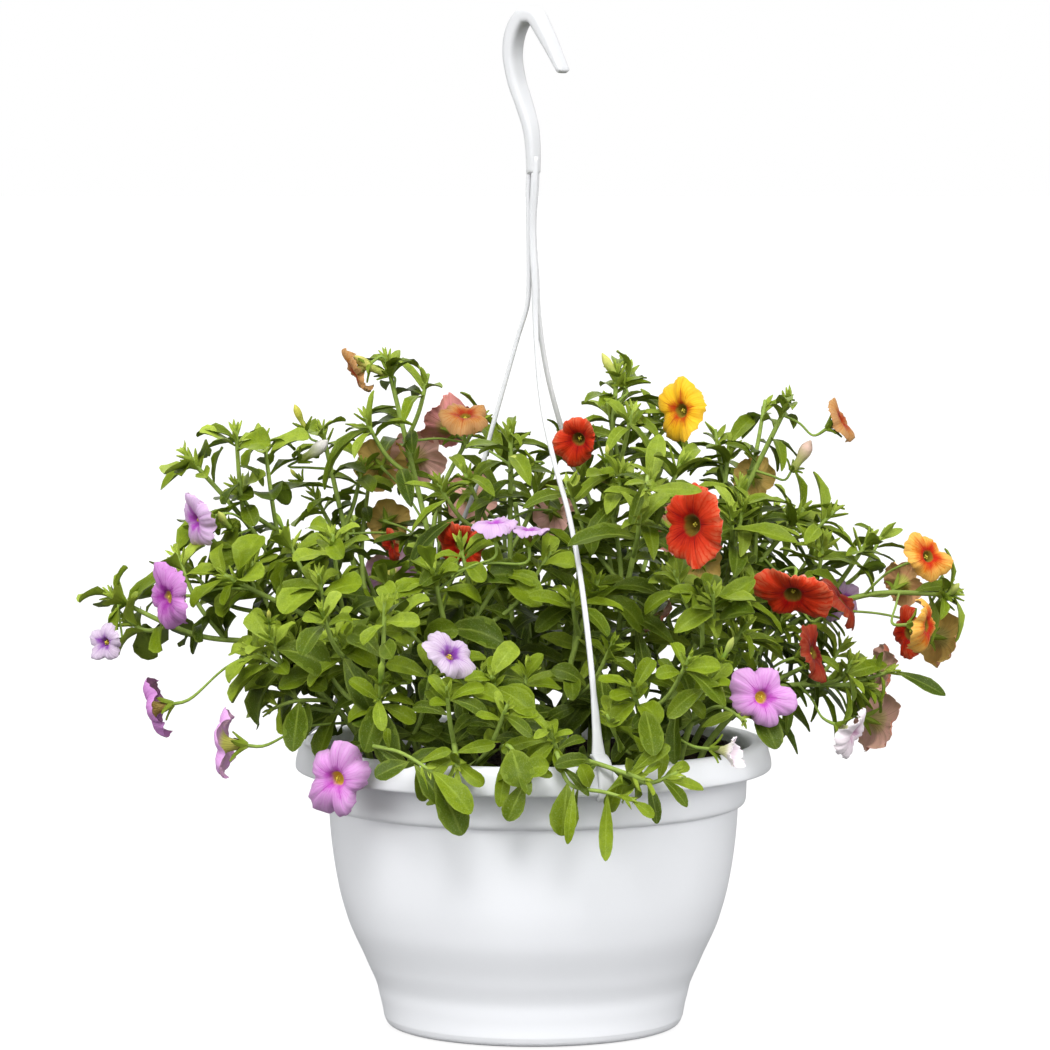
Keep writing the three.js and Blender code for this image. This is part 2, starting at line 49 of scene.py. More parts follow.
# The pot's outline from the middle of its foot over the rim to the middle of its floor, as radius and height
POT_BODY = [(0, 0), (70, 0), (75.4, 0.2), (77.6, 1.6), (78.9, 5), (80, 11), (81.3, 16), (82.6, 22), (84.7, 27),
            (87.1, 32), (89.4, 37.5), (92, 43), (94.4, 48), (96.8, 53.5), (98.8, 59.5), (101.7, 69.5),
            (103.8, 80), (105.4, 90), (106.7, 101), (107.4, 110), (107.6, 115.6), (107.7, 116.5)]
POT_COLLAR = [(108, 116.9), (109.8, 117.2), (111, 118), (111.7, 119.4), (112, 122), (112.4, 136), (112.8, 145.5)]
POT_RIM = [(113.4, 146.6), (118.9, 146.6), (120.4, 145.4), (121.8, 137.4), (122.6, 135.9), (124, 135.7),
           (125, 136.4), (125.2, 138), (124.9, 141), (123.3, 146.8), (122.3, 149), (120.4, 150.4), (118, 150.6),
           (115.4, 149.8), (113.7, 148.2), (112.7, 145.6)]
POT_INSIDE = [(110.6, 136), (109.9, 122), (109.5, 118.6), (105.3, 114.5), (92, 50), (74.5, 3.2), (0, 3.2)]
DRAIN_HOLES = 5
DRAIN_RADIUS = 5
DRAIN_RING = 50
DRAIN_CUT = (-4.0, 8.0)


def softened(outline, times=2):
    """Rounds a line: each of its corners is cut at a quarter of both neighbouring sides, `times` over."""
    points = np.asarray(outline, float)
    for _ in range(times):
        near = points[:-1] * 0.75 + points[1:] * 0.25
        far = points[:-1] * 0.25 + points[1:] * 0.75
        between = np.stack([near, far], 1).reshape(-1, points.shape[1])
        points = np.concatenate([points[:1], between, points[-1:]])
    return points


def shells(rings, feet, tips):
    """Closed shells of quads: point c of ring r of shell n is rings[n, r, c]. Ring r joins ring r + 1, point c
    joins c + 1 and the last one the first, and the end rings draw together in feet[n] and tips[n]. All are turned
    to face out, by the sign of the first one's volume: a third of the corners' triple products."""
    count, rows, columns, _ = rings.shape
    points = np.concatenate([rings.reshape(count, rows * columns, 3), feet[:, None], tips[:, None]], 1)
    grid = np.arange(rows * columns).reshape(rows, columns)
    after = np.roll(grid, -1, 1)
    quads = np.stack([grid[:-1], after[:-1], after[1:], grid[1:]], -1).reshape(-1, 4)
    foot = np.stack([np.full(columns, rows * columns), after[0], grid[0]], -1)
    tip = np.stack([np.full(columns, rows * columns + 1), grid[-1], after[-1]], -1)
    tris = np.concatenate([foot, tip])
    first = points[0] - points[0].mean(0)
    a, b, c = first[np.concatenate([quads[:, [0, 1, 2]], quads[:, [0, 2, 3]], tris])].transpose(1, 0, 2)
    if (a * np.cross(b, c)).sum() < 0:
        quads, tris = quads[:, ::-1], tris[:, ::-1]
    step = (np.arange(count) * (rows * columns + 2))[:, None, None]
    return points.reshape(-1, 3), (quads + step).reshape(-1, 4), (tris + step).reshape(-1, 3)


def joined(parts):
    """Several (points, quads, tris) as one, each part's faces counted on from the points before it."""
    steps = np.cumsum([0] + [len(p[0]) for p in parts[:-1]])
    quads, tris = (np.concatenate([p[k] + s for p, s in zip(parts, steps)]) for k in (1, 2))
    return np.concatenate([p[0] for p in parts]), quads, tris


def piece(name, shape, material, marks=None, crease=50.0):
    """A shape in millimetres as an object at the origin; marks are colour attributes, one value a point."""
    points, quads, tris = shape
    mesh = bpy.data.meshes.new(name)
    mesh.vertices.add(len(points))
    mesh.vertices.foreach_set("co", (points * 0.001).ravel())
    mesh.loops.add(quads.size + tris.size)
    mesh.loops.foreach_set("vertex_index", np.concatenate([quads.ravel(), tris.ravel()]))
    mesh.polygons.add(len(quads) + len(tris))
    starts = np.concatenate([np.arange(len(quads)) * 4, quads.size + np.arange(len(tris)) * 3])
    mesh.polygons.foreach_set("loop_start", starts)
    mesh.update(calc_edges=True)
    mesh.validate()
    mesh.polygons.foreach_set("use_smooth", np.ones(len(mesh.polygons), bool))
    mesh.set_sharp_from_angle(angle=math.radians(crease))
    for mark, values in (marks or {}).items():
        layer = mesh.attributes.new(mark, "FLOAT_COLOR", "POINT")
        layer.data.foreach_set("color", np.asarray(values, np.float32).ravel())
    mesh.materials.append(material)
    obj = bpy.data.objects.new(name, mesh)
    bpy.context.scene.collection.objects.link(obj)
    return obj


def stands_for(obj, slot, *nodes):
    """Ties a finished piece to the part: it hangs the piece on the root body and hides the nodes that it stands for;
    `slot` is not used.
    """
    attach(obj, "root")
    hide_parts(*nodes)


def add(tree, kind, inputs=None, **settings):
    """A shader node; inputs are values, or sockets of other nodes that are linked in."""
    made = tree.nodes.new(kind)
    for key, value in settings.items():
        setattr(made, key, value)
    for key, value in (inputs or {}).items():
        if isinstance(value, bpy.types.NodeSocket):
            tree.links.new(value, made.inputs[key])
        else:
            made.inputs[key].default_value = value
    return made


def sums(tree, operation, *values, clamp=False):
    """A Math node's value of the operation on the given values or sockets."""
    return add(tree, "ShaderNodeMath", dict(enumerate(values)), operation=operation, use_clamp=clamp).outputs[0]


def between(tree, value, low, high, to_low=0.0, to_high=1.0):
    """A smooth step: to_low up to `low`, to_high from `high` on."""
    inputs = {"Value": value, "From Min": low, "From Max": high, "To Min": to_low, "To Max": to_high}
    return add(tree, "ShaderNodeMapRange", inputs, interpolation_type="SMOOTHSTEP").outputs["Result"]


def blend(tree, share, first, second):
    """Two colours mixed by a share."""
    return add(tree, "ShaderNodeMix", {0: share, 6: first, 7: second}, data_type="RGBA").outputs[2]


def noise(tree, place, scale, detail):
    """A soft noise from 0 to 1, `scale` waves a metre."""
    return add(tree, "ShaderNodeTexNoise", {"Vector": place, "Scale": scale, "Detail": detail}).outputs[0]


def skin_group(name, inputs):
    """A node group for a skin, with named inputs, that gives a colour, a roughness and a height."""
    tree = bpy.data.node_groups.new(name, "ShaderNodeTree")
    outputs = {"Color": "Color", "Roughness": "Float", "Height": "Float"}
    for side, sockets in (("INPUT", inputs), ("OUTPUT", outputs)):
        for label, kind in sockets.items():
            tree.interface.new_socket(label, in_out=side, socket_type=f"NodeSocket{kind}")
    return tree, tree.nodes.new("NodeGroupInput").outputs


def gives(tree, **results):
    """Links a group's results to its outputs of the same names."""
    out = tree.nodes.new("NodeGroupOutput").inputs
    for label, result in results.items():
        tree.links.new(result, out[label])
    return tree


def material(name, **constants):
    """A new material; returns it, its tree and its Principled shader with the constant values set on it."""
    made = bpy.data.materials.new(name)
    made.use_nodes = True
    tree = made.node_tree
    shader = tree.nodes["Principled BSDF"]
    for key, value in constants.items():
        shader.inputs[key.replace("_", " ")].default_value = value
    return made, tree, shader


def covered(tree, shader, asset, inputs, strength, relief):
    """Covers a material with a skin on Object coordinates: its colour, its roughness, and its height as a bump."""
    inputs = {"Place": add(tree, "ShaderNodeTexCoord").outputs["Object"], **inputs}
    skin = add(tree, "ShaderNodeGroup", inputs, node_tree=asset).outputs
    bump = add(tree, "ShaderNodeBump", {"Height": skin["Height"], "Strength": strength, "Distance": relief})
    tree.links.new(skin["Color"], shader.inputs["Base Color"])
    tree.links.new(skin["Roughness"], shader.inputs["Roughness"])
    tree.links.new(bump.outputs[0], shader.inputs["Normal"])


def moulded_skin():
    """Moulded plastic: a faint slow shift of tone, and a very fine unevenness of gloss and surface."""
    tree, given = skin_group("Moulded skin", {"Place": "Vector", "Tone": "Color", "Shift": "Float", "Gloss": "Float"})
    fine = noise(tree, given["Place"], 900.0, 2.0)
    slow = between(tree, noise(tree, given["Place"], 14.0, 2.0), 0.35, 0.75)
    tone = blend(tree, sums(tree, "MULTIPLY", slow, given["Shift"]), given["Tone"], (0.55, 0.58, 0.62, 1))
    rough = sums(tree, "MULTIPLY_ADD", sums(tree, "SUBTRACT", fine, 0.5), 0.06, given["Gloss"])
    return gives(tree, Color=tone, Roughness=rough, Height=fine)


MOULDED_SKIN = moulded_skin()


def plastic(name, tone, shift, gloss, uneven):
    """A white moulded plastic: its tone, how far the tone shifts, its roughness, how uneven its surface is."""
    made, tree, shader = material(name, Specular_IOR_Level=0.5, IOR=1.49)
    covered(tree, shader, MOULDED_SKIN, {"Tone": tone, "Shift": shift, "Gloss": gloss}, uneven, 0.0002)
    return made


def lathe(outline, sides):
    """A turned shape: the outline (radius, height), from the axis back to the axis, carried round the axis."""
    outline = np.asarray(outline, float)
    turn = np.linspace(0, 2 * np.pi, sides, endpoint=False)
    radius, height = outline[1:-1, 0, None], outline[1:-1, 1, None]
    rings = np.stack([radius * np.cos(turn), radius * np.sin(turn), height + 0 * turn], -1)[None]
    ends = np.array([[[0, 0, outline[0, 1]]], [[0, 0, outline[-1, 1]]]], float)
    return shells(rings, ends[0], ends[1])


def drained(obj):
    """Cuts the drainage holes through the pot's base with upright rods set in a ring."""
    turn = np.linspace(0, 2 * np.pi, 32, endpoint=False)
    centre = 2 * np.pi * (np.arange(DRAIN_HOLES) + 0.5) / DRAIN_HOLES
    circle = np.stack([np.cos(turn), np.sin(turn)], -1)
    middle = np.stack([np.cos(centre), np.sin(centre)], -1) * DRAIN_RING
    flat = middle[:, None, None] + DRAIN_RADIUS * circle[None, None] + np.zeros((1, 2, 1, 1))
    height = np.broadcast_to(np.array(DRAIN_CUT)[None, :, None, None], flat.shape[:3] + (1,))
    rings = np.concatenate([flat, height], -1)
    ends = [np.column_stack([middle, np.full(DRAIN_HOLES, z)]) for z in DRAIN_CUT]
    rods = piece("drain rods", shells(rings, *ends), obj.data.materials[0])
    cut = obj.modifiers.new("drainage", "BOOLEAN")
    cut.object, cut.operation, cut.solver = rods, "DIFFERENCE", "EXACT"
    bpy.context.view_layer.objects.active = obj
    bpy.ops.object.modifier_apply(modifier=cut.name)
    bpy.data.objects.remove(rods)


pot_white = plastic("white satin plastic", (0.88, 0.89, 0.915, 1), 0.05, 0.34, 0.05)
pot_outline = np.concatenate([
    softened(POT_BODY[:5], 2), softened(POT_BODY[4:], 2)[1:], softened(POT_COLLAR, 2),
    softened(POT_RIM, 2), softened(POT_INSIDE[:4], 2), POT_INSIDE[4:],
])
pot = piece("pot", lathe(pot_outline, 200), pot_white, crease=40)
drained(pot)
stands_for(pot, "pot", "pot")


# Soil. Dark peat with fibres and small lumps, filling the pot to a low mound some 14 mm under the rim. It is
# loose stuff that takes the pot's inner form; every stem comes up through it.

SOIL_RADIUS = 109.6
SOIL_SIDE = [(74.1, 3.6), (91.6, 50), (104.8, 114.5), (109.2, 118.6), (SOIL_RADIUS, 133.4)]
SOIL_TOP = [(0, 140), (55, 139.5), (99, 136.5), (SOIL_RADIUS, 134.6)]
# Where the peat is heaped up: right of the middle, behind the middle, height, reach
HEAPS = [(94, 24, 10.5, 36), (62, 64, 5, 40)]
# Its lumps: height, length, seed, number of waves
LUMPS = [(1.5, 21, 3, 9), (1.0, 9, 5, 14), (0.75, 4.4, 8, 20)]


def waves(x, y, scale, seed, count):
    """A lumpy height from -1 to 1: sine waves of about one length, summed from seeded directions and phases."""
    rng = np.random.default_rng(seed)
    angle, phase = rng.uniform(0, 2 * np.pi, (2, count))
    length = scale * rng.uniform(0.6, 1.5, count)
    bearing = x[..., None] * np.cos(angle) + y[..., None] * np.sin(angle)
    return np.sin(bearing * 2 * np.pi / length + phase).sum(-1) / count ** 0.5 / 1.5


def peat_fill():
    """The mound's height falls with the radius; two heaps and lumps of three sizes fade out at the wall."""
    turn = np.linspace(0, 2 * np.pi, 256, endpoint=False)
    radius = np.linspace(1.2, 109, 84)[:, None]
    x, y = radius * np.cos(turn), radius * np.sin(turn)
    height = np.interp(radius, *np.transpose(SOIL_TOP)) - 0.6
    heap = sum(high * np.exp(-((x - right) ** 2 + (y - behind) ** 2) / reach**2)
               for right, behind, high, reach in HEAPS)
    height = height + heap * np.clip((SOIL_RADIUS - radius) / 3, 0, 1)
    lumps = sum(high * waves(x, y, long, seed, count) for high, long, seed, count in LUMPS)
    top = np.stack([x, y, height + np.clip((SOIL_RADIUS - radius) / 4, 0, 1) * lumps], -1)
    side = np.array(SOIL_SIDE[::-1])
    wall = np.stack([side[:, :1] * np.cos(turn), side[:, :1] * np.sin(turn), side[:, 1:] + 0 * turn], -1)
    rings = np.concatenate([top, wall])[None]
    return shells(rings, np.array([[0, 0, top[0, :, 2].mean()]]), np.array([[0, 0, 3.6]]))


def peat():
    """Peat: near-black brown crumbs with paler fibres, rough and broken by a coarse bump."""
    made, tree, shader = material("dark fibrous peat", Specular_IOR_Level=0.15, Roughness=0.95)
    where = add(tree, "ShaderNodeTexCoord").outputs["Object"]
    crumbs = add(tree, "ShaderNodeTexVoronoi", {"Vector": where, "Scale": 420.0}, feature="F1")
    cloud = add(tree, "ShaderNodeTexNoise", {"Vector": where, "Scale": 160.0, "Detail": 5.0, "Roughness": 0.65})
    bent = add(tree, "ShaderNodeMapping", {"Vector": where, "Scale": (1.0, 0.16, 1.0), "Rotation": (0, 0, 0.7)})
    fibre = add(tree, "ShaderNodeTexNoise", {"Vector": bent.outputs[0], "Scale": 900.0, "Detail": 1.0})
    dark = blend(tree, between(tree, cloud.outputs[0], 0.35, 0.7), (0.006, 0.004, 0.003, 1), (0.05, 0.03, 0.018, 1))
    pale = blend(tree, between(tree, fibre.outputs[0], 0.66, 0.74), dark, (0.12, 0.075, 0.04, 1))
    lift = sums(tree, "ADD", cloud.outputs[0], sums(tree, "MULTIPLY", crumbs.outputs["Distance"], 0.7))
    bump = add(tree, "ShaderNodeBump", {"Height": lift, "Strength": 0.9, "Distance": 0.002})
    tree.links.new(pale, shader.inputs["Base Color"])
    tree.links.new(bump.outputs[0], shader.inputs["Normal"])
    return made


soil = piece("soil", peat_fill(), peat(), crease=80)
stands_for(soil, "soil", "soil")


# Hanger. One white polypropylene moulding with a glossy skin: a flat hook turned aside on its shank, and three
# straps that run down as one bundle, part, and end in clips bent over the pot's rim.

# The hook's plane, and its line as distance along that plane and height
HOOK_BEARING = 50
HOOK = [(0, 448), (-0.3, 460), (-1.8, 471), (-6.5, 484), (-11.5, 496), (-14.2, 510), (-12, 521.5), (-6, 529),
        (1, 529), (7, 521.5), (13.5, 511.5), (20, 500.5)]
# Each strap by its azimuth, as height and distance from the axis
STRAPS = {
    16.8: [(456, 1.7), (420, 1.9), (383, 2.5), (352, 6.5), (326, 16), (300, 36), (274, 62), (246, 81), (210, 97),
           (176, 108), (154.5, 113.6)],
    136.8: [(456, 1.7), (420, 1.9), (383, 2.5), (352, 8), (327, 16), (292, 32), (250, 57), (210, 82), (176, 103),
            (154.5, 113.6)],
    -103.2: [(456, 1.7), (420, 1.9), (383, 2.5), (360, 9), (315, 22), (283, 31), (250, 46), (210, 76),
             (176, 103), (154.5, 113.6)],
}
# Each clip's line, as distance from the axis and height
CLIP = [(111.4, 154.9), (114.4, 154.6), (117.8, 154.0), (121.2, 152.4), (123.6, 150), (126.1, 143.2),
        (126.7, 137.6), (125.9, 134.6), (123.6, 134), (121.8, 134.1)]
# Thickness and width at shares of each bar's length
HOOK_THICK = ([0, 0.3, 0.46, 0.58, 0.7, 0.85, 1], [4.6, 5.4, 6.6, 8.2, 8.0, 6.2, 3.2])
HOOK_WIDE = ([0, 0.12, 0.3, 0.5, 0.75, 1], [7.6, 8.8, 10.8, 10.6, 10.2, 8.4])
STRAP_THICK = ([0, 0.3, 0.9, 1], [2.6, 2.3, 2.5, 3.0])
STRAP_WIDE = ([0, 0.22, 0.3, 0.62, 0.9, 0.97, 1], [3.7, 3.4, 2.4, 2.5, 2.9, 5.0, 7.4])
CLIP_THICK = ([0, 0.1, 0.75, 1], [2.2, 2.8, 2.4, 2.0])
CLIP_WIDE = 8.0
# The share of the straps that runs as one bundle, where they weave a little
BUNDLE = 0.22
UP = np.array([0.0, 0.0, 1.0])
SPARE = np.array([0.31, 0.95, 0.05])


def unit(azimuth, elevation=0.0):
    """The direction at an azimuth, 0 towards the viewer and 90 to the right, and an elevation."""
    a, e = np.radians(azimuth), np.radians(elevation)
    return np.stack([np.sin(a) * np.cos(e), -np.cos(a) * np.cos(e), np.sin(e) + 0 * a], -1)


def length_of(vectors):
    """Lengths, kept as a last axis of one."""
    return np.linalg.norm(vectors, axis=-1, keepdims=True)


def one_long(vectors):
    """Vectors brought to a length of one."""
    return vectors / length_of(vectors)


def across(direction, wish):
    """Unit vectors square to the directions, as near as they can be to the wish, or to a spare way along it."""
    wish = np.broadcast_to(np.asarray(wish, float), direction.shape)
    side = wish - direction * (wish * direction).sum(-1, keepdims=True)
    other = SPARE - direction * (direction @ SPARE)[..., None]
    return one_long(np.where(length_of(side) < 1e-3, other, side))


def smooth_line(way, steps):
    """Even points on the centripetal Catmull-Rom curve through the way points: each span is a cubic whose end
    slopes come from its neighbours, weighed by the root of their distances."""
    way = np.asarray(way, float)
    way = np.concatenate([2 * way[:1] - way[1:2], way, 2 * way[-1:] - way[-2:-1]])
    gap = np.sqrt(length_of(np.diff(way, axis=0)))
    p0, p1, p2, p3 = way[:-3], way[1:-2], way[2:-1], way[3:]
    d0, d1, d2 = gap[:-2], gap[1:-1], gap[2:]
    m1 = ((p1 - p0) / d0 - (p2 - p0) / (d0 + d1) + (p2 - p1) / d1) * d1
    m2 = ((p2 - p1) / d1 - (p3 - p1) / (d1 + d2) + (p3 - p2) / d2) * d1
    s = np.linspace(0, 1, 40)[None, :, None]
    p1, p2, m1, m2 = (q[:, None] for q in (p1, p2, m1, m2))
    curve = (2 * s**3 - 3 * s**2 + 1) * p1 + (s**3 - 2 * s**2 + s) * m1 + (3 * s**2 - 2 * s**3) * p2
    curve = (curve + (s**3 - s**2) * m2).reshape(-1, 3)
    far = np.concatenate([[0], np.cumsum(length_of(np.diff(curve, axis=0))[:, 0])])
    even = np.linspace(0, far[-1], steps + 1)
    return np.stack([np.interp(even, far, curve[:, k]) for k in range(3)], -1)


def headings(line):
    """Unit directions along a line of points."""
    return one_long(np.gradient(line, axis=0))


def strip(line, facing, wide, thick, corners=20, roundness=4.0):
    """A bar along a line: its section is a superellipse, `wide` across and `thick` along the way it faces, and
    it is drawn in at both ends."""
    ahead = headings(line)
    flat = across(ahead, facing)
    side = np.cross(ahead, flat)
    turn = 2 * np.pi * (np.arange(corners) + 0.5) / corners
    reach = (np.abs(np.cos(turn)) ** roundness + np.abs(np.sin(turn)) ** roundness) ** (-1 / roundness)
    w = (np.broadcast_to(wide, len(line)) / 2)[:, None, None] * (reach * np.cos(turn))[None, :, None]
    h = (np.broadcast_to(thick, len(line)) / 2)[:, None, None] * (reach * np.sin(turn))[None, :, None]
    rings = line[:, None] + side[:, None] * w + flat[:, None] * h
    ends = []
    for end, out in ((0, -1), (-1, 1)):
        ring = line[end] + (rings[end] - line[end]) * 0.72 + out * ahead[end] * np.mean(thick) * 0.12
        ends.append((ring, line[end] + out * ahead[end] * np.mean(thick) * 0.14))
    rings = np.concatenate([ends[0][0][None], rings, ends[1][0][None]])[None]
    return shells(rings, ends[0][1][None], ends[1][1][None])


def hanger_shape():
    """The hook in the upright plane of its bearing, three straps in theirs, and a clip on each."""
    turn = unit(HOOK_BEARING)
    hook = np.array(HOOK, float)
    line = smooth_line(hook[:, :1] * turn + hook[:, 1:] * UP, 96)
    u = np.linspace(0, 1, len(line))
    facing = np.cross(unit(HOOK_BEARING + 90), headings(line))
    parts = [strip(line, facing, np.interp(u, *HOOK_WIDE), np.interp(u, *HOOK_THICK), corners=28, roundness=5.0)]
    for azimuth, run in STRAPS.items():
        out = unit(azimuth)
        run = np.array(run, float)
        line = smooth_line(run[:, 1:] * out + run[:, :1] * UP, 120)
        u = np.linspace(0, 1, len(line))
        line = line + out * (0.5 * np.sin(u * 40) * (u < BUNDLE + 0.02))[:, None]
        line = line - unit(90) * (1.1 * np.sin(u / BUNDLE * np.pi) ** 2 * (u < BUNDLE))[:, None]
        parts.append(strip(line, out, np.interp(u, *STRAP_WIDE), np.interp(u, *STRAP_THICK), roundness=3.2))
        bend = np.array(CLIP, float)
        line = smooth_line(bend[:, :1] * out + bend[:, 1:] * UP, 40)
        thick = np.interp(np.linspace(0, 1, len(line)), *CLIP_THICK)
        facing = np.cross(unit(azimuth + 90), headings(line))
        parts.append(strip(line, facing, CLIP_WIDE, thick, roundness=6.0))
    return joined(parts)


hanger_white = plastic("white glossy plastic", (0.66, 0.665, 0.675, 1), 0.04, 0.32, 0.03)
hanger = piece("hanger", hanger_shape(), hanger_white, crease=60)
stands_for(hanger, "hanger", "hanger")


# Leafy stems. Soft living shoots, 2 to 3 mm thick: each comes out of the soil, branches, carries leaves in a
# turning row and a crowd of young ones at every tip, and holds the flower stalks, green calyces and buds.

ROUND, NARROW = "round_leaves", "narrow_leaves"
# Leafy stems: kind of leaf, root in the soil, way of the main shoot, and its twigs: share of its length, tip
STEMS = [
    (ROUND, (-72, 12), [(-112, 14, 205), (-150, 12, 262), (-183, 10, 300)],
     [(0.55, (-143, 27, 309)), (0.35, (-150, 50, 236))]),
    (ROUND, (-62, 40), [(-92, 44, 225), (-113, 45, 312)], [(0.5, (-88, 70, 286)), (0.4, (-122, 78, 246))]),
    (ROUND, (-86, -12), [(-122, -22, 198), (-176, -24, 208), (-222, -18, 228)], [(0.45, (-150, 4, 248))]),
    (ROUND, (-60, -18), [(-92, -26, 200), (-160, -34, 240)], [(0.5, (-104, -40, 262))]),
    (ROUND, (-84, -42), [(-106, -56, 178), (-146, -62, 204)], []),
    (ROUND, (-62, -60), [(-78, -76, 172), (-101, -78, 212)], [(0.45, (-78, -106, 184))]),
    (ROUND, (-38, -84), [(-40, -104, 160), (-38, -129, 152)], []),
    (ROUND, (-30, -36), [(-40, -46, 190), (-52, -62, 246)], [(0.5, (-14, -52, 244))]),
    (ROUND, (-14, -74), [(-16, -88, 168), (-21, -112, 196)], []),
    (ROUND, (12, -94), [(12, -112, 156), (8, -126, 170)], [(0.5, (56, -134, 146))]),
    (ROUND, (56, -72), [(56, -84, 162), (50, -104, 190)], [(0.4, (78, -90, 192))]),
    (ROUND, (14, -44), [(18, -48, 190), (33, -58, 240)], []),
    (NARROW, (-34, 18), [(-52, 22, 240), (-78, 30, 350)], [(0.55, (-28, 46, 318))]),
    (NARROW, (-8, -4), [(-12, 2, 230), (-12, -4, 314)], [(0.5, (-36, -14, 292))]),
    (NARROW, (30, 6), [(36, 10, 240), (44, 12, 344)], [(0.6, (66, 24, 318))]),
    (NARROW, (38, -26), [(44, -36, 210), (60, -60, 292)], [(0.55, (38, -32, 290))]),
    (NARROW, (62, 22), [(94, 24, 240), (136, 20, 330)], [(0.55, (104, 38, 304))]),
    (NARROW, (66, 0), [(96, 2, 212), (142, 4, 272)], [(0.5, (110, -16, 276))]),
    (NARROW, (84, 14), [(126, 14, 202), (172, 0, 226), (220, -12, 228)], [(0.6, (178, 16, 256))]),
    (NARROW, (88, -16), [(120, -24, 178), (174, -26, 182)], [(0.5, (150, 2, 192))]),
    (NARROW, (76, -42), [(88, -52, 182), (110, -62, 218)], [(0.45, (86, -70, 234))]),
    (NARROW, (0, 40), [(-4, 62, 220), (-14, 92, 300)], [(0.5, (16, 74, 304)), (0.4, (-46, 98, 262))]),
    (ROUND, (-34, 66), [(-48, 100, 190), (-66, 150, 232)], [(0.5, (-98, 118, 216)), (0.35, (-30, 128, 206))]),
    (NARROW, (34, 62), [(50, 98, 198), (66, 148, 244)], [(0.5, (24, 132, 240)), (0.4, (94, 122, 226))]),
    (NARROW, (66, 52), [(96, 72, 212), (140, 88, 262)], [(0.5, (116, 50, 284)), (0.4, (138, 112, 214))]),
    (ROUND, (4, 84), [(6, 118, 176), (2, 166, 186)], [(0.5, (44, 146, 180))]),
]
# Flowers: stem, share of its length where the stalk leaves it, colour, middle of the face, the way it faces
# as azimuth and elevation, width of the face
FLOWERS = [
    (5, 0.7, "pink", (-101, -103, 142), (-28, -4), 38),
    (10, 0.8, "pink", (117, -82, 182), (18, 10), 32.5),
    (8, 0.9, "pale_lilac", (-41, -116, 208), (30, 38), 28),
    (7, 0.9, "lilac", (-20, -62, 270), (-24, 86), 25),
    (0, 0.75, "lilac", (-177, -22, 267), (-60, -10), 30),
    (3, 0.9, "magenta", (-190, -52, 230), (-48, 0), 33),
    (2, 0.97, "pale_lilac", (-222, -44, 206), (-28, 5), 20),
    (2, 0.52, "magenta", (-198, -52, 172), (-94, -14), 32),
    (4, 0.4, "pink", (-160, -84, 158), (-97, 2), 37),
    (14, 0.75, "red", (23, -14, 309), (-24, -14), 28),
    (14, 0.85, "yellow", (76, -8, 324), (-40, 4), 31.5),
    (15, 0.92, "red", (79, -86, 270), (-40, 0), 42),
    (16, 0.95, "peach", (163, 12, 318), (76, 28), 25),
    (17, 0.6, "red", (133, -58, 231), (-8, -37), 36),
    (17, 0.8, "shaded_red", (161, -26, 227), (80, 38), 31),
    (19, 0.4, "shaded_red", (145, -56, 202), (66, 17), 28),
    (18, 0.75, "orange", (205, -34, 250), (36, 16), 24.5),
    (18, 0.85, "orange", (204, -46, 215), (70, 0), 28),
    (18, 0.65, "orange", (196, 16, 232), (140, 20), 25),
    (18, 0.95, "khaki", (216, 14, 202), (134, -12), 31),
    (19, 0.85, "faded", (182, -2, 160), (128, -14), 34),
    (19, 0.7, "blush", (166, -52, 159), (68, -24), 29),
    (10, 0.55, "blush", (98, -114, 158), (78, -6), 22),
    (13, 0.9, "peach", (-36, 18, 321), (0, 66), 26),
    (12, 0.8, "red", (-46, 46, 314), (-150, 24), 34),
    (12, 0.7, "backlit_faded", (-62, 58, 296), (168, 14), 31),
    (13, 0.7, "backlit_faded", (-33, 32, 275), (172, -10), 28),
    (12, 0.92, "peach", (-95, 22, 342), (-82, -30), 27),
    (22, 0.9, "pink", (-82, 172, 222), (196, 10), 34),
    (23, 0.9, "red", (78, 170, 250), (168, 12), 34),
    (25, 0.85, "lilac", (20, 184, 176), (176, 4), 30),
]
# More flowers, half hidden among the leaves
DEEP_FLOWERS = [
    (7, 0.95, "lilac", (-2, -60, 266), (30, 84), 21),
    (7, 0.8, "red", (-38, -22, 254), (-20, -30), 27),
    (1, 0.7, "red", (-76, 34, 250), (-64, -10), 18),
    (13, 0.75, "backlit_faded", (11, 28, 268), (170, -8), 24),
    (12, 0.6, "khaki", (-83, 60, 292), (190, 6), 29),
    (12, 0.55, "khaki", (-78, 58, 261), (176, -4), 24),
    (19, 0.8, "faded", (186, 6, 187), (104, -6), 26),
    (17, 0.7, "lilac", (162, 12, 222), (10, -14), 24),
    (15, 0.6, "khaki", (88, -12, 242), (168, -40), 22),
    (16, 0.8, "khaki", (118, 40, 285), (160, -20), 24),
    (15, 0.45, "faded", (66, -6, 216), (118, -30), 24),
    (18, 0.62, "red", (195, -12, 208), (-58, -2), 28),
]
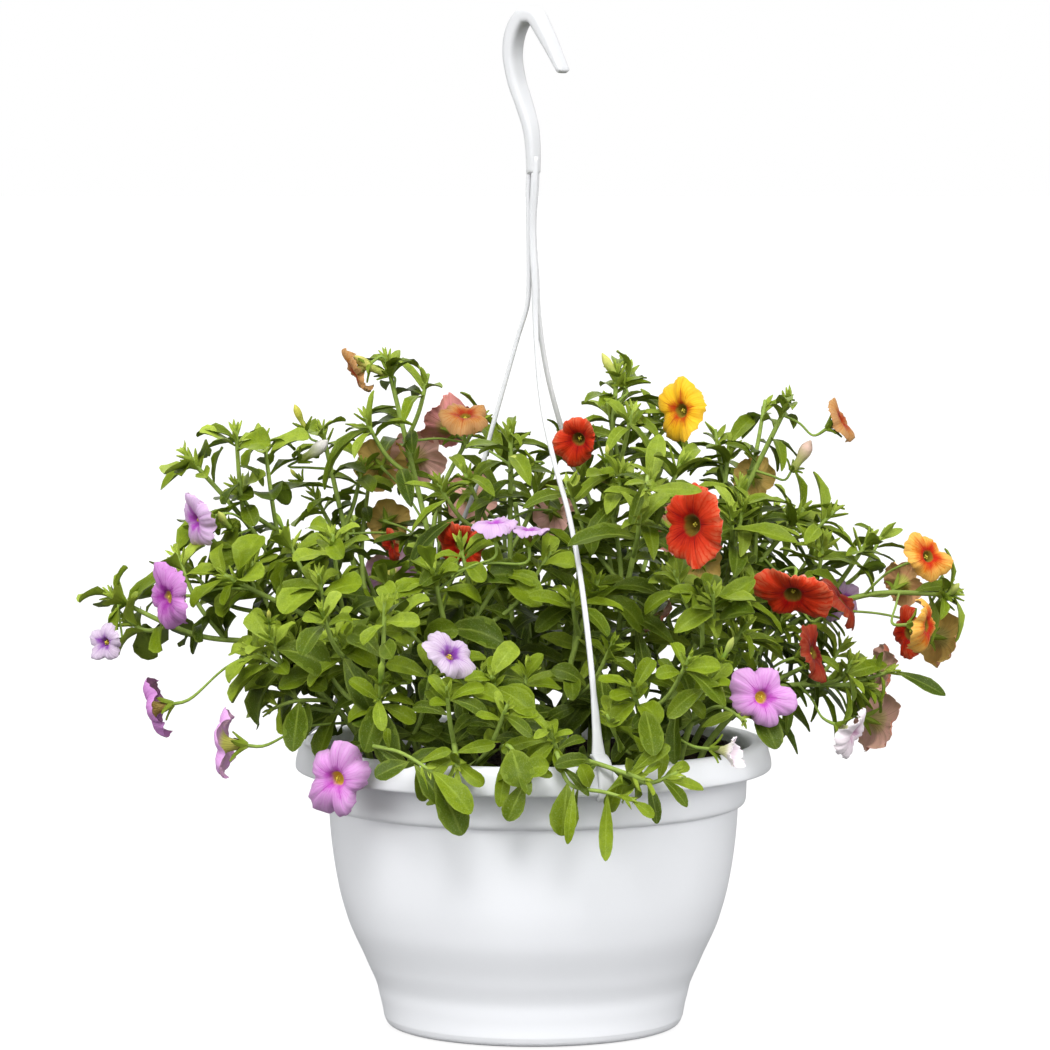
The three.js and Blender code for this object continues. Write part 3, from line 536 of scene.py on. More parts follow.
# Closed and spent flowers: stem, foot, tip, width, colour at the foot and at the tip
CLOSED_FLOWERS = [
    (14, (47, 12, 336), (36, 8, 351), 5, (0.3, 0.42, 0.06), (0.62, 0.62, 0.16)),
    (13, (0, -6, 297), (-13, -10, 298), 5, (0.42, 0.52, 0.08), (0.55, 0.6, 0.14)),
    (1, (-121, 42, 311), (-127, 40, 323), 4.4, (0.45, 0.48, 0.08), (0.6, 0.56, 0.08)),
    (1, (-125, 32, 295), (-109, 29, 304), 7, (0.5, 0.56, 0.14), (0.85, 0.8, 0.78)),
    (12, (-77, 26, 341), (-95, 21, 349), 6, (0.45, 0.5, 0.1), (0.62, 0.56, 0.14)),
    (16, (136, 14, 291), (146, 12, 305), 7, (0.42, 0.46, 0.12), (0.66, 0.46, 0.38)),
    (0, (-158, -8, 262), (-164, -20, 270), 4.5, (0.3, 0.42, 0.06), (0.5, 0.55, 0.12)),
    (18, (214, -14, 226), (222, -18, 233), 4, (0.3, 0.42, 0.06), (0.45, 0.5, 0.12)),
]
SOIL_LEVEL = 139
# The photograph's viewpoint, and the plant's heart, away from which leaves turn their upper faces
EYE = np.array([0.0, -2600.0, 463.5])
HEART = np.array([0.0, 70.0, 150.0])
# Leaves from one to the next along a shoot turn by this many degrees
LEAF_TURN = 137.5
# Leaves of the two kinds: range of length, width as a share of it, form of the foot and the point, spacing, droop
LEAF = {
    ROUND: {"long": (24, 33), "wide": 0.55, "base": 1.4, "end": 0.56, "pitch": 36, "droop": 0.24},
    NARROW: {"long": (27, 37), "wide": 0.28, "base": 1.0, "end": 0.8, "pitch": 32, "droop": 0.2},
}
# By stem: how broad and how large its leaves are beside the usual ones of their kind, how young and light they look,
# millimetres between its side shoots, and millimetres between leaves along its longer shoots
LEAF_FORM = {0: (0.95, 1.0), 1: (0.8, 0.95), 2: (1.0, 1.05), 3: (1.0, 1.06), 4: (1.0, 1.05), 5: (0.8, 0.95),
             6: (0.66, 0.85), 7: (0.9, 1.0), 8: (0.8, 0.95), 9: (0.6, 0.85), 10: (0.8, 0.9), 11: (0.66, 1.05),
             15: (1.2, 1.05), 17: (1.2, 1.0), 20: (1.25, 1.0)}
# How light each stem's leaves look is partly their age and partly painted light and shade: the stems in front, which
# the lamps light most, are kept darker.
BRIGHT = {0: 1.1, 1: 0.92, 2: 1.08, 3: 1.02, 4: 0.98, 5: 0.88, 6: 0.8, 7: 0.82, 8: 0.8, 9: 0.85, 10: 0.78, 11: 0.7,
          12: 0.9, 13: 0.8, 14: 0.95, 15: 1.0, 16: 0.9, 17: 0.95, 18: 0.95, 19: 0.9, 20: 0.88, 21: 0.72}
ROOM = {0: 32, 1: 44, 2: 33, 3: 31, 4: 29, 12: 38, 13: 33, 14: 27, 16: 32, 18: 19, 19: 19, 21: 55, 22: 40, 23: 40,
        24: 44, 25: 34}
SPACED = {0: 13, 1: 15, 2: 13, 3: 12, 12: 14, 13: 14, 14: 13, 16: 14, 21: 18, 22: 15, 23: 15, 24: 16, 25: 14}
# Radii of the shoots and stalks, from foot to end, in millimetres
MAIN_SHOOT, TWIG, SIDE_SHOOT = [1.8, 1.7, 1.5, 1.25], [1.4, 1.3, 1.1], [1.3, 1.2, 1.0]
TRAIL, FLOWER_STALK, SPENT_STALK, BUD_STALK = [1.2, 1.1, 0.9], [0.75, 0.65, 0.62, 1.0], [0.8, 0.65, 0.7], [0.6, 0.6]
STEM_GREEN = (0.3, 0.41, 0.08)
STALK_GREEN = (0.28, 0.4, 0.07)
# Buds: colour at the foot and at the tip
BUD_TINTS = [((0.2, 0.33, 0.04), (0.36, 0.5, 0.07)), ((0.24, 0.36, 0.05), (0.55, 0.55, 0.1)),
             ((0.2, 0.32, 0.04), (0.45, 0.5, 0.12))]
# Share of the shoots that end in a bud
BUD_SHARE = 0.08
# The grid of one leaf: shares of its length; then, round its section, shares across and depths below its face
LEAF_ROWS = np.array([0.06, 0.25, 0.45, 0.64, 0.8, 0.92, 0.985])
LEAF_ACROSS = np.array([-1, -0.55, 0, 0.55, 1, 0.55, 0, -0.55])
LEAF_DEPTH = np.array([0, 0, 0, 0, 0, 0.34, 0.75, 0.34])


def draw(a, b, c):
    """A seeded draw from 0 to 1: the fraction of a large sine of the shoot's number, the leaf's and the use."""
    s = np.sin(a * 12.9898 + b * 78.233 + c * 37.719) * 43758.5453
    return s - np.floor(s)


def spun(vectors, axes, angles):
    """Vectors turned about unit axes by angles in radians, by Rodrigues' formula."""
    angles = np.asarray(angles, float)[..., None]
    dot = (vectors * axes).sum(-1, keepdims=True)
    return vectors * np.cos(angles) + np.cross(axes, vectors) * np.sin(angles) + axes * dot * (1 - np.cos(angles))


def leaf_points(leaf, rows, columns, depth):
    """Leaf blades: the midline bends back along a circle by `curl` and sinks by `droop` times the square of the
    share t; the half width is t to the power `base` times (1 - t) to the power `end`, over its own peak; the
    edges rise by `fold` times the width; `depth` is how far a point lies under the upper face."""
    t = rows[None, :, None]
    s = columns[None, None, :]
    base, end, wide, curl, long, droop, twist, luck, fold, thin, along, up, start = (
        leaf[key][:, None, None] for key in (
            "base", "end", "wide", "curl", "long", "droop", "twist", "luck", "fold", "thin", "along", "up", "start"))
    peak = base / (base + end)
    full = peak**base * (1 - peak) ** end
    width = wide / 2 * np.clip(t, 1e-6, 1) ** base * np.clip(1 - t, 0, 1) ** end / full
    width = np.maximum(width, 0.45 * (t < 0.5))
    bend = curl * t
    curl = np.where(np.abs(curl) < 1e-3, 1e-3, curl)
    ahead = long * np.sin(curl * t) / curl
    back = long * (1 - np.cos(curl * t)) / curl
    line = start + along * ahead[..., None] - up * back[..., None] - UP * (droop * long * t**2)[..., None]
    side = np.cross(along, up)
    over = up * np.cos(bend)[..., None] + along * np.sin(bend)[..., None]
    twist = (twist * t)[..., None]
    side, over = side * np.cos(twist) + over * np.sin(twist), over * np.cos(twist) - side * np.sin(twist)
    wave = 0.16 * np.sin(2 * np.pi * (1.6 * t + luck) + s)
    rise = width * np.abs(s) ** 1.3 * (fold + wave)
    return line + side * (width * s)[..., None] + over * (rise - depth[None, None, :] * thin)[..., None]


def leaf_shape(leaf):
    """Closed leaves with their marks. Blade: share along, share across, underside, luck. Paint: a tint, and how
    far it takes the place of the greens. Last, the leaf's age, from old 0 to young 1."""
    rings = leaf_points(leaf, LEAF_ROWS, LEAF_ACROSS, LEAF_DEPTH)
    ends = leaf_points(leaf, np.array([0.0, 1.0]), np.zeros(1), np.zeros(1))[:, :, 0]
    shape = shells(rings, ends[:, 0], ends[:, 1])
    rows, columns = len(LEAF_ROWS), len(LEAF_ACROSS)
    t = np.append(np.repeat(LEAF_ROWS, columns), [0, 1])
    s = np.append(np.tile(np.abs(LEAF_ACROSS), rows), [0, 0])
    under = np.append(np.tile((LEAF_DEPTH > 0).astype(float), rows), [0, 0])
    spread = np.ones((len(leaf["long"]), 1))
    blade = np.stack([spread * t, spread * s, spread * under, leaf["luck"][:, None] + 0 * t], -1).reshape(-1, 4)
    tint = np.concatenate([leaf["tint"], leaf["stain"][:, None]], 1)
    return shape, blade, np.repeat(tint, rows * columns + 2, 0), np.repeat(leaf["age"], rows * columns + 2)


def gathered(crowds):
    """Several crowds of leaves as one."""
    return {key: np.concatenate([crowd[key] for crowd in crowds]) for key in crowds[0]}


def crowd_of(count, **given):
    """Leaves as arrays, with plain values for what isn't given."""
    plain = {"fold": 0.2, "curl": 0.4, "droop": 0.0, "twist": 0.0, "luck": 0.5, "age": 0.5, "stain": 0.0,
             "base": 0.9, "end": 0.9, "thin": 1.0, "tint": (0.1, 0.2, 0.02)}
    shapes = {key: (count, 3) for key in ("start", "along", "up", "tint")}
    return {key: np.array(np.broadcast_to(np.asarray(value, float), shapes.get(key, (count,))))
            for key, value in {**plain, **given}.items()}


def place_on(line, share):
    """Points and directions at shares of an even line of points."""
    at = np.clip(share, 0, 1) * (len(line) - 1)
    ahead = headings(line)
    steps = np.arange(len(line))
    spots = [np.stack([np.interp(at, steps, what[:, k]) for k in range(3)], -1) for what in (line, ahead)]
    return spots[0], one_long(spots[1])


def spot_on(line, share):
    """The one point at a share of a line."""
    return place_on(line, np.array([share]))[0][0]


def leafy(rule, line, number, bare, crowd, pitch, light, tip_room=2.6, ruff=9):
    """Leaves of one shoot: a turning row, `pitch` millimetres apart, from the share `bare` of the shoot on, then
    `crowd` of them close together at the tip, `tip_room` apart: first a ruff of spoon-shaped ones that lean less and
    less, then the heart, small, narrow, pointed and nearly upright. `light` makes them look younger and lighter,
    partly for their age and partly as painted light and shade."""
    reach = length_of(np.diff(line, axis=0)).sum()
    rows = max(1, int(reach * (1 - bare) / pitch))
    i = np.arange(rows + crowd)

    def chance(use):
        return draw(number, i, use)

    place = i - rows
    tip = place >= 0
    share = np.where(tip, 1 - (crowd - place - 0.6) * tip_room / reach,
                     bare + (1 - bare) * (i + chance(1) * 0.5) / rows)
    share = np.clip(share, 0.04, 1)
    root, along = place_on(line, share)
    heart = place >= ruff
    inner = np.where(heart, (place - ruff + 1) / max(crowd - ruff, 1), 0)
    turn = np.radians(i * LEAF_TURN + chance(2) * 50 + number * 61)
    lean = np.where(tip, 70 - 12 * place, 78 - 18 * share) + 44 * (chance(11) - 0.5)
    lean = np.radians(np.where(heart, 44 - 34 * inner + 18 * chance(11), lean))
    radial = spun(across(along, (1, 0.2, 0.1)), along, turn)
    ahead = along * np.cos(lean)[:, None] + radial * np.sin(lean)[:, None]
    short, longest = rule["long"]
    long = short + (longest - short) * chance(3)
    long = long * np.where(tip, 0.62 - 0.06 * place + 0.4 * chance(12), 0.6 + 0.6 * chance(12))
    long = np.where(heart, short * (0.56 - 0.3 * inner), long)
    light_side = one_long(root - HEART) + UP * 0.4 + radial * (chance(5) * 0.5 - 0.5)[:, None]
    up = across(ahead, light_side)
    age = np.where(heart, 0.72 + 0.28 * inner, np.where(tip, 0.54 + 0.05 * place, 0.05 + 0.3 * share**1.4))
    slim = np.where(heart, 0.27, rule["wide"] * (0.82 + 0.34 * chance(4)))
    return crowd_of(
        len(i), start=root, along=ahead, up=up, long=long, wide=long * slim,
        fold=np.where(tip, 0.38, 0.3) + 0.36 * (chance(6) - 0.5) + 0.2 * inner,
        curl=np.where(heart, -0.2, np.where(tip, 0.75, 0.6) + 1.1 * (chance(7) - 0.4)),
        droop=rule["droop"] * np.where(tip, 0.2, 0.9), twist=0.9 * (chance(8) - 0.5),
        luck=chance(9), age=age * light,
        base=np.where(heart, 0.7, rule["base"] * (0.75 + 0.3 * chance(13))),
        end=np.where(heart, 1.0, rule["end"]),
    )


def tube(line, radii, sides=8):
    """A round shoot along a line, the radius given at even shares of it; the ends are drawn together."""
    ahead = headings(line)
    side = across(ahead, across(one_long(line[-1:] - line[:1]), SPARE))
    other = np.cross(ahead, side)
    turn = np.linspace(0, 2 * np.pi, sides, endpoint=False)
    radius = np.interp(np.linspace(0, 1, len(line)), np.linspace(0, 1, len(radii)), radii)[:, None, None]
    rings = line[:, None] + radius * (side[:, None] * np.cos(turn)[:, None] + other[:, None] * np.sin(turn)[:, None])
    foot, tip = line[0] - ahead[0] * radii[0] * 0.4, line[-1] + ahead[-1] * radii[-1] * 0.4
    return shells(rings[None], foot[None], tip[None])


def stained(shape, luck, tints):
    """A shape with the marks of a leaf that takes its given tints, one a point, in place of the greens."""
    count = len(shape[0])
    paint = np.concatenate([np.broadcast_to(tints, (count, 3)), np.ones((count, 1))], 1)
    return shape, np.tile([0.5, 0.5, 0.0, luck], (count, 1)), paint, np.full(count, 0.5)


# Shoots that hang over the rim or reach out: stem, share of its length where they leave, the way they go
TRAILS = [
    (5, 0.32, [(-84, -104, 160), (-66, -122, 158), (-50, -129, 149)]),
    (8, 0.3, [(-16, -112, 160), (-11, -126, 161), (-4, -132, 145)]),
    (9, 0.62, [(12, -129, 158), (18, -134, 144), (36, -136, 140), (50, -137, 136)]),
    (15, 0.93, [(58, -76, 294), (57, -92, 288)]),
    (19, 0.9, [(176, -27, 186), (187, -31, 190)]),
    (4, 0.55, [(-122, -66, 178), (-136, -54, 172)]),
    (20, 0.4, [(96, -76, 176), (108, -88, 170)]),
]
# Leaves seen one by one there: stem, foot, tip, width, stage from old 0 to young 1, bend
HUNG_LEAVES = [
    (5, (-50, -129, 149), (-36, -137, 119), 16, 0.12, 0.5), (5, (-51, -129, 150), (-31, -143, 130), 13, 0.42, 0.9),
    (5, (-60, -126, 153), (-45, -134, 133), 12, 0.08, 0.6), (5, (-62, -124, 154), (-79, -129, 147), 11, 0.1, 0.5),
    (8, (-11, -127, 161), (-6, -140, 143), 18, 0.34, 0.9), (8, (-13, -126, 160), (-17, -135, 133), 8, 0.3, 0.4),
    (8, (-4, -132, 145), (-13, -136, 126), 11, 0.12, 0.5), (8, (-6, -131, 149), (8, -142, 154), 12, 0.5, 1.0),
    (9, (17, -134, 145), (14, -138, 119), 15, 0.28, 0.3), (9, (20, -135, 143), (17, -141, 115), 6, 0.42, 0.6),
    (9, (37, -136, 140), (36, -139, 106), 7.5, 0.42, -0.7), (9, (49, -137, 136), (60, -140, 128), 6, 0.45, 0.8),
    (9, (28, -135, 142), (23, -144, 155), 9, 0.5, 0.9), (15, (57, -92, 288), (84, -113, 289), 7, 0.6, 0.5),
    (10, (113, -66, 178), (124, -77, 155), 14, 0.08, 0.4), (19, (187, -31, 190), (213, -39, 178), 8, 0.1, 0.5),
    (4, (-120, -68, 178), (-122, -99, 156), 13, 0.2, 0.7), (10, (56, -106, 178), (60, -134, 158), 13, 0.3, 0.8),
]


def hung_leaves(number):
    """The placed leaves of one stem: each starts along the line from foot to tip turned up by half its bend, so
    that it ends at its tip."""
    rows = [row for row in HUNG_LEAVES if row[0] == number]
    foot, tip = (np.array([row[k] for row in rows], float).reshape(-1, 3) for k in (1, 2))
    wide, age, bend = (np.array([row[k] for row in rows], float) for k in (3, 4, 5))
    ahead = tip - foot
    long = length_of(ahead)
    up = across(ahead / long, (0.1, -1, 0.55))
    half = bend[:, None] / 2
    along = ahead / long * np.cos(half) + up * np.sin(half)
    return crowd_of(
        len(rows), start=foot, along=along, up=across(along, up), long=long[:, 0] * 1.03, wide=wide, age=age,
        curl=bend, fold=0.22, luck=draw(number, np.arange(len(rows)), 14), base=1.2, end=0.62,
        twist=0.5 * (draw(number, np.arange(len(rows)), 15) - 0.5),
    )


def tube_length(wide):
    """How long the tube of a flower of this width is."""
    return max(8, wide * 0.36)


def flower_frame(flower):
    """The way a flower faces, its tube's length, and the seat where its tube leaves the calyx."""
    *_, face, look, wide = flower
    ahead = unit(*look)
    return ahead, tube_length(wide), np.array(face, float) - ahead * tube_length(wide)


def around(ahead, turn):
    """Directions square to one heading, turned round it by angles from its upper side."""
    side = across(ahead[None], UP)[0]
    return side * np.cos(turn)[:, None] + np.cross(ahead, side) * np.sin(turn)[:, None]


STRAP_LINES = np.concatenate([
    smooth_line(np.array(run)[2:, 1:] * unit(azimuth) + np.array(run)[2:, :1] * UP, 60)
    for azimuth, run in STRAPS.items()
])
ALL_FLOWERS = [*FLOWERS, *DEEP_FLOWERS]
# Flowers that are kept in the viewer's sight: those in front whose faces are fresh
IN_SIGHT = [k < len(FLOWERS) and flower[2] not in ("faded", "backlit_faded", "khaki") and flower[3][1] < 70
            for k, flower in enumerate(ALL_FLOWERS)]
# The plant's outline: highest leaf, and lowest leaf beside the pot, by the distance right of the middle
OUTLINE_TOP = ((-238, -215, -183, -150, -112, -96, -76, -48, -20, 20, 44, 66, 96, 118, 134, 150, 162, 172, 212, 238),
               (232, 262, 316, 322, 330, 344, 360, 338, 322, 326, 356, 340, 312, 322, 338, 312, 288, 264, 264, 240))
OUTLINE_FOOT = ((-240, -222, -205, -175, -150, -128, 128, 150, 180, 205, 225, 240),
                (196, 180, 168, 150, 146, 138, 136, 146, 152, 160, 176, 196))
# How far the plant reaches to the sides, to the front and to the back
PLANT_SIDE, PLANT_FRONT, PLANT_BACK = 240, -158, 192
# The pot's outer radius by height, the height of its rim, and the radius inside it
POT_WALL = ((0, 30, 60, 100, 117, 118, 134, 136, 152), (80, 87, 100, 108, 109, 113, 114, 127, 126))
RIM_HEIGHT, RIM_INSIDE = 152.5, 108.5
# How far leaves keep from a strap, and from the line of sight to the front strap
STRAP_ROOM, SIGHT_ROOM = 4.2, 3.2
FRONT_STRAP = STRAP_LINES[12:61:2]
# Openings among the leaves: on the bare soil at the right, as the viewer sees it (right of the middle, height,
# and half of its two sides), and on the front strap's clip (right of the middle, half its width, heights)
SOIL_WINDOW = (99, 150, 17, 6)
CLIP_WINDOW = (36.2, 4.5, 146, 172)


def hides(points, spot, room, from_spot=0):
    """Where points hide a spot: nearer to the viewer than it is, and close to the line of sight to it."""
    away = points - spot
    nearer = away @ one_long(EYE - spot)
    return (nearer > from_spot) & ((away**2).sum(-1) - nearer**2 < room**2)


def in_the_way(points):
    """Where a point would sit in the pot, the soil, a strap or a flower, or outside the plant's outline, or hide
    a fresh flower, the front strap, its clip or the bare soil at the right from the viewer."""
    x, y, z = points[..., 0], points[..., 1], points[..., 2]
    radius = np.hypot(x, y)
    over_soil = (radius < RIM_INSIDE) & (z > SOIL_LEVEL + 1 - radius * 0.04)
    blocked = (z < RIM_HEIGHT) & (radius < np.interp(z, *POT_WALL) + 0.5) & ~over_soil
    blocked |= (np.abs(x) > PLANT_SIDE) | (y < PLANT_FRONT) | (y > PLANT_BACK)
    blocked |= (z > np.interp(x, *OUTLINE_TOP)) | ((z < np.interp(x, *OUTLINE_FOOT)) & (np.abs(x) > 126))
    for spot in STRAP_LINES[::3]:
        blocked |= ((points - spot) ** 2).sum(-1) < STRAP_ROOM**2
    for spot in FRONT_STRAP:
        blocked |= hides(points, spot, SIGHT_ROOM)
    for flower, in_sight in zip(ALL_FLOWERS, IN_SIGHT):
        wide, depth = flower[5], tube_length(flower[5])
        away = points - np.array(flower[3], float)
        height = away @ unit(*flower[4])
        radial = np.sqrt(np.maximum((away**2).sum(-1) - height**2, 0))
        funnel = np.interp(height, [-depth, -depth * 0.4, -2, 2, 4], [2.2, 3.4, wide * 0.42, wide * 0.52, 0])
        blocked |= (height > -depth) & (height < 4) & (radial < funnel)
        blocked |= (height >= 4) & (height < 30) & (radial < wide * 0.4)
        if in_sight:
            blocked |= hides(points, np.array(flower[3], float), wide * 0.46, 2)
    seen = EYE[1] / (EYE[1] - y)
    seen_x, seen_z = x * seen, EYE[2] + (z - EYE[2]) * seen
    right, high, half_wide, half_high = SOIL_WINDOW
    on_soil = (np.abs(seen_x - right) < half_wide) & (np.abs(seen_z - high) < half_high)
    blocked |= on_soil & (y < 24) & (z > SOIL_LEVEL + 2)
    right, half_wide, low, high = CLIP_WINDOW
    blocked |= (y < -116) & (np.abs(x - right) < half_wide) & (z > low) & (z < high)
    return blocked


def settled(leaf):
    """Keeps the leaves that are clear; each of the others is turned about its shoot, then lifted, to get clear,
    and is left out if it can't."""
    rows, columns = np.array([0.3, 0.55, 0.8, 1.0]), np.array([-0.9, 0.0, 0.9])
    left = np.ones(len(leaf["long"]), bool)
    for turn, lift in ((0, 0), (38, 0), (-38, 0), (75, 0.2), (-75, 0.2), (0, 0.7), (120, 0.3), (-120, 0.3)):
        tried = {key: value.copy() for key, value in leaf.items()}
        angle = np.full(len(left), math.radians(turn))
        tried["along"] = one_long(spun(leaf["along"], UP, angle) + UP * lift)
        tried["up"] = across(tried["along"], spun(leaf["up"], UP, angle))
        take = left & ~in_the_way(leaf_points(tried, rows, columns, np.zeros(3))).any((1, 2))
        for key in leaf:
            leaf[key][take] = tried[key][take]
        left &= ~take
    return {key: value[~left] for key, value in leaf.items()}


def side_shoots(line, number, bare, room, reach, lift=0.35):
    """Short shoots that leave a longer one in a turning row and curve up to the light; each is an even line."""
    count = int(length_of(np.diff(line, axis=0)).sum() * (1 - bare) / room)
    made = []
    for j in range(count):
        share = bare + (0.93 - bare) * (j + draw(number, j, 21) * 0.8) / max(count, 1)
        root, along = place_on(line, np.array([share]))
        radial = spun(across(along, (1, 0.2, 0.1)), along, np.array([np.radians(j * LEAF_TURN + number * 83 + 40)]))
        ahead = one_long(along * 0.55 + radial * 0.8 + one_long(root - HEART * [1, 1, 0.9]) * 0.35)[0]
        far = reach * (0.65 + 0.7 * draw(number, j, 22)) * (1.15 - 0.45 * share)
        root = root[0]
        middle = root + ahead * far * 0.5 + UP * far * lift * 0.12
        path = smooth_line([root, middle, root + ahead * far * 0.9 + UP * far * lift], 14)
        if not in_the_way(path[5:]).any():
            made.append(path)
    return made


def calyx(ahead, seat, wide, luck):
    """Five narrow green sepals round the flower's seat, bent outwards at their points."""
    radial = around(ahead, np.radians(np.arange(5) * 72 + 360 * luck))
    lean = np.radians(34)
    along = ahead * math.cos(lean) + radial * math.sin(lean)
    long = (5.6 + wide * 0.15) * (0.9 + 0.25 * draw(luck * 100, np.arange(5), 3))
    return crowd_of(
        5, start=seat - ahead * 1.6 + radial * 0.5, along=along, up=across(along, ahead - radial * 0.9), long=long,
        wide=long * 0.3, fold=0.3, curl=-0.1 + 0.9 * draw(luck * 100, np.arange(5), 4), base=0.5, end=0.95,
        age=0.42, luck=luck, thin=1.2,
    )


def closed_flower(foot, ahead, long, wide, tints, luck):
    """A bud or a spent flower: a slim spindle with a pointed, slightly twisted end, green at the foot."""
    line = smooth_line([foot, foot + ahead * long * 0.5, foot + (ahead + UP * 0.12) * long], 14)
    u = np.linspace(0, 1, len(line))
    radii = wide / 2 * np.interp(u, [0, 0.12, 0.35, 0.62, 0.8, 0.92, 1], [0.42, 0.6, 0.62, 1.0, 0.92, 0.5, 0.12])
    share = np.append(np.repeat(u, 8), [0, 1])[:, None]
    low, high = np.array(tints)
    return stained(tube(line, radii), luck, low + (high - low) * np.clip((share - 0.3) / 0.5, 0, 1))


def grown(number, kind, root, way, twigs):
    """One leafy stem: main shoot, twigs and side shoots as tubes, their leaves, flower stalks, calyces, buds."""
    luck = float(draw(number, 7, 30))
    bright = BRIGHT.get(number, 1.0)
    broad, large = LEAF_FORM.get(number, (1, 1))
    rule = {**LEAF[kind], "wide": LEAF[kind]["wide"] * broad, "long": np.array(LEAF[kind]["long"]) * large}
    slight = {**rule, "wide": rule["wide"] * 0.7, "long": rule["long"] * 0.75}
    parts, leaves, calyces = [], [], []

    def shoot(line, radii, tint=STEM_GREEN, sides=8):
        parts.append(stained(tube(line, radii, sides), luck, tint))

    main = smooth_line([*((*root, SOIL_LEVEL + z) for z in (-13, -3, 5)), *way], 60)
    shoot(main, MAIN_SHOOT)
    lines, sides = [main], []
    for share, tip in twigs:
        start, along = (q[0] for q in place_on(main, np.array([share])))
        end = np.array(tip, float)
        reach = np.linalg.norm(end - start)
        middle = (start + along * reach * 0.25) * 0.45 + (start + (end - start) * 0.45) * 0.55 + UP * reach * 0.03
        lines.append(smooth_line([start, middle, end], 24))
        shoot(lines[-1], TWIG)
    for k, line in enumerate(lines):
        bare, old_bare, old_crowd = ((0.14, 0.36, 4), (0.2, 0.5, 3))[k > 0]
        spaced = SPACED.get(number, 11) * large
        leaves.append(leafy(rule, line, number * 4 + k, old_bare, old_crowd, rule["pitch"], bright * 0.9))
        leaves.append(leafy(rule, line, 500 + number * 4 + k, bare, 11, spaced, bright, 1.3, ruff=3))
        sides += side_shoots(line, 40 + number * 4 + k, bare, ROOM.get(number, 23), 44)
    for j, line in enumerate(sides):
        shoot(line, SIDE_SHOOT, sides=6)
        leaves.append(leafy(rule, line, 900 + number * 20 + j, 0.15, 10, 11 * large, bright, 1.3, ruff=4))
    for j, (_, share, way) in enumerate([trail for trail in TRAILS if trail[0] == number]):
        line = smooth_line([spot_on(main, share), *way], 24)
        shoot(line, TRAIL)
        leaves.append(leafy(slight, line, 1700 + number * 4 + j, 0.35, 7, 13, bright, 1.4, ruff=2))
    for f, flower in enumerate(ALL_FLOWERS):
        if flower[0] == number:
            start = spot_on(main, flower[1])
            ahead, _, seat = flower_frame(flower)
            reach = np.linalg.norm(seat - start)
            back = seat - ahead * min(9, reach * 0.4)
            shoot(smooth_line([start, start + (back - start) * 0.55 + UP * reach * 0.06, back, seat], 22),
                  FLOWER_STALK, STALK_GREEN)
            calyces.append(calyx(ahead, seat, flower[5], float(draw(f, 3, 31))))
    near = np.concatenate(lines)
    for _, foot, tip, wide, *tints in [closed for closed in CLOSED_FLOWERS if closed[0] == number]:
        foot, tip = np.array(foot, float), np.array(tip, float)
        ahead = one_long(tip - foot)
        start = near[np.argmin(length_of(near - (foot - UP * 10)))]
        back = foot - ahead * min(6, np.linalg.norm(foot - start) * 0.4)
        shoot(smooth_line([start, start + (back - start) * 0.55, back, foot], 16), SPENT_STALK, STALK_GREEN, 6)
        parts.append(closed_flower(foot, ahead, np.linalg.norm(tip - foot), wide, tints, luck))
        calyces.append(calyx(ahead, foot + ahead * 1.2, 12, luck))
    for j, line in enumerate([*lines, *sides]):
        if draw(number, j, 33) >= BUD_SHARE:
            continue
        end, ahead = line[-1], headings(line)[-1]
        aside = spun(across(ahead[None], (1, 0.2, 0.1)), ahead[None], np.array([j * 2.4 + number]))[0]
        ahead = one_long(ahead * 0.8 + aside * 0.45 + UP * 0.25)
        stalk = smooth_line([end - aside * 0.2, end + ahead * 4, end + ahead * 9], 6)
        size = 0.7 + 0.5 * draw(number, j, 34)
        if not in_the_way(stalk[-1] + ahead * 11 * size * np.array([[0.3], [1.0]])).any():
            shoot(stalk, BUD_STALK, STALK_GREEN, 6)
            parts.append(closed_flower(stalk[-1], ahead, 11 * size, 3.2 * size, BUD_TINTS[(number + j) % 3], luck))
            calyces.append(calyx(ahead, stalk[-1] + ahead * 1.2, 10, float(draw(number, j, 35))))
    parts.append(leaf_shape(gathered([settled(gathered(leaves)), hung_leaves(number), *calyces])))
    blade, paint, age = (np.concatenate([part[k] for part in parts]) for k in (1, 2, 3))
    blade[:, 3] = np.clip(blade[:, 3], 0, 1)
    stage = np.stack([age, age, age, np.ones_like(age)], -1)
    return joined([part[0] for part in parts]), {"blade": blade, "paint": paint, "stage": stage}


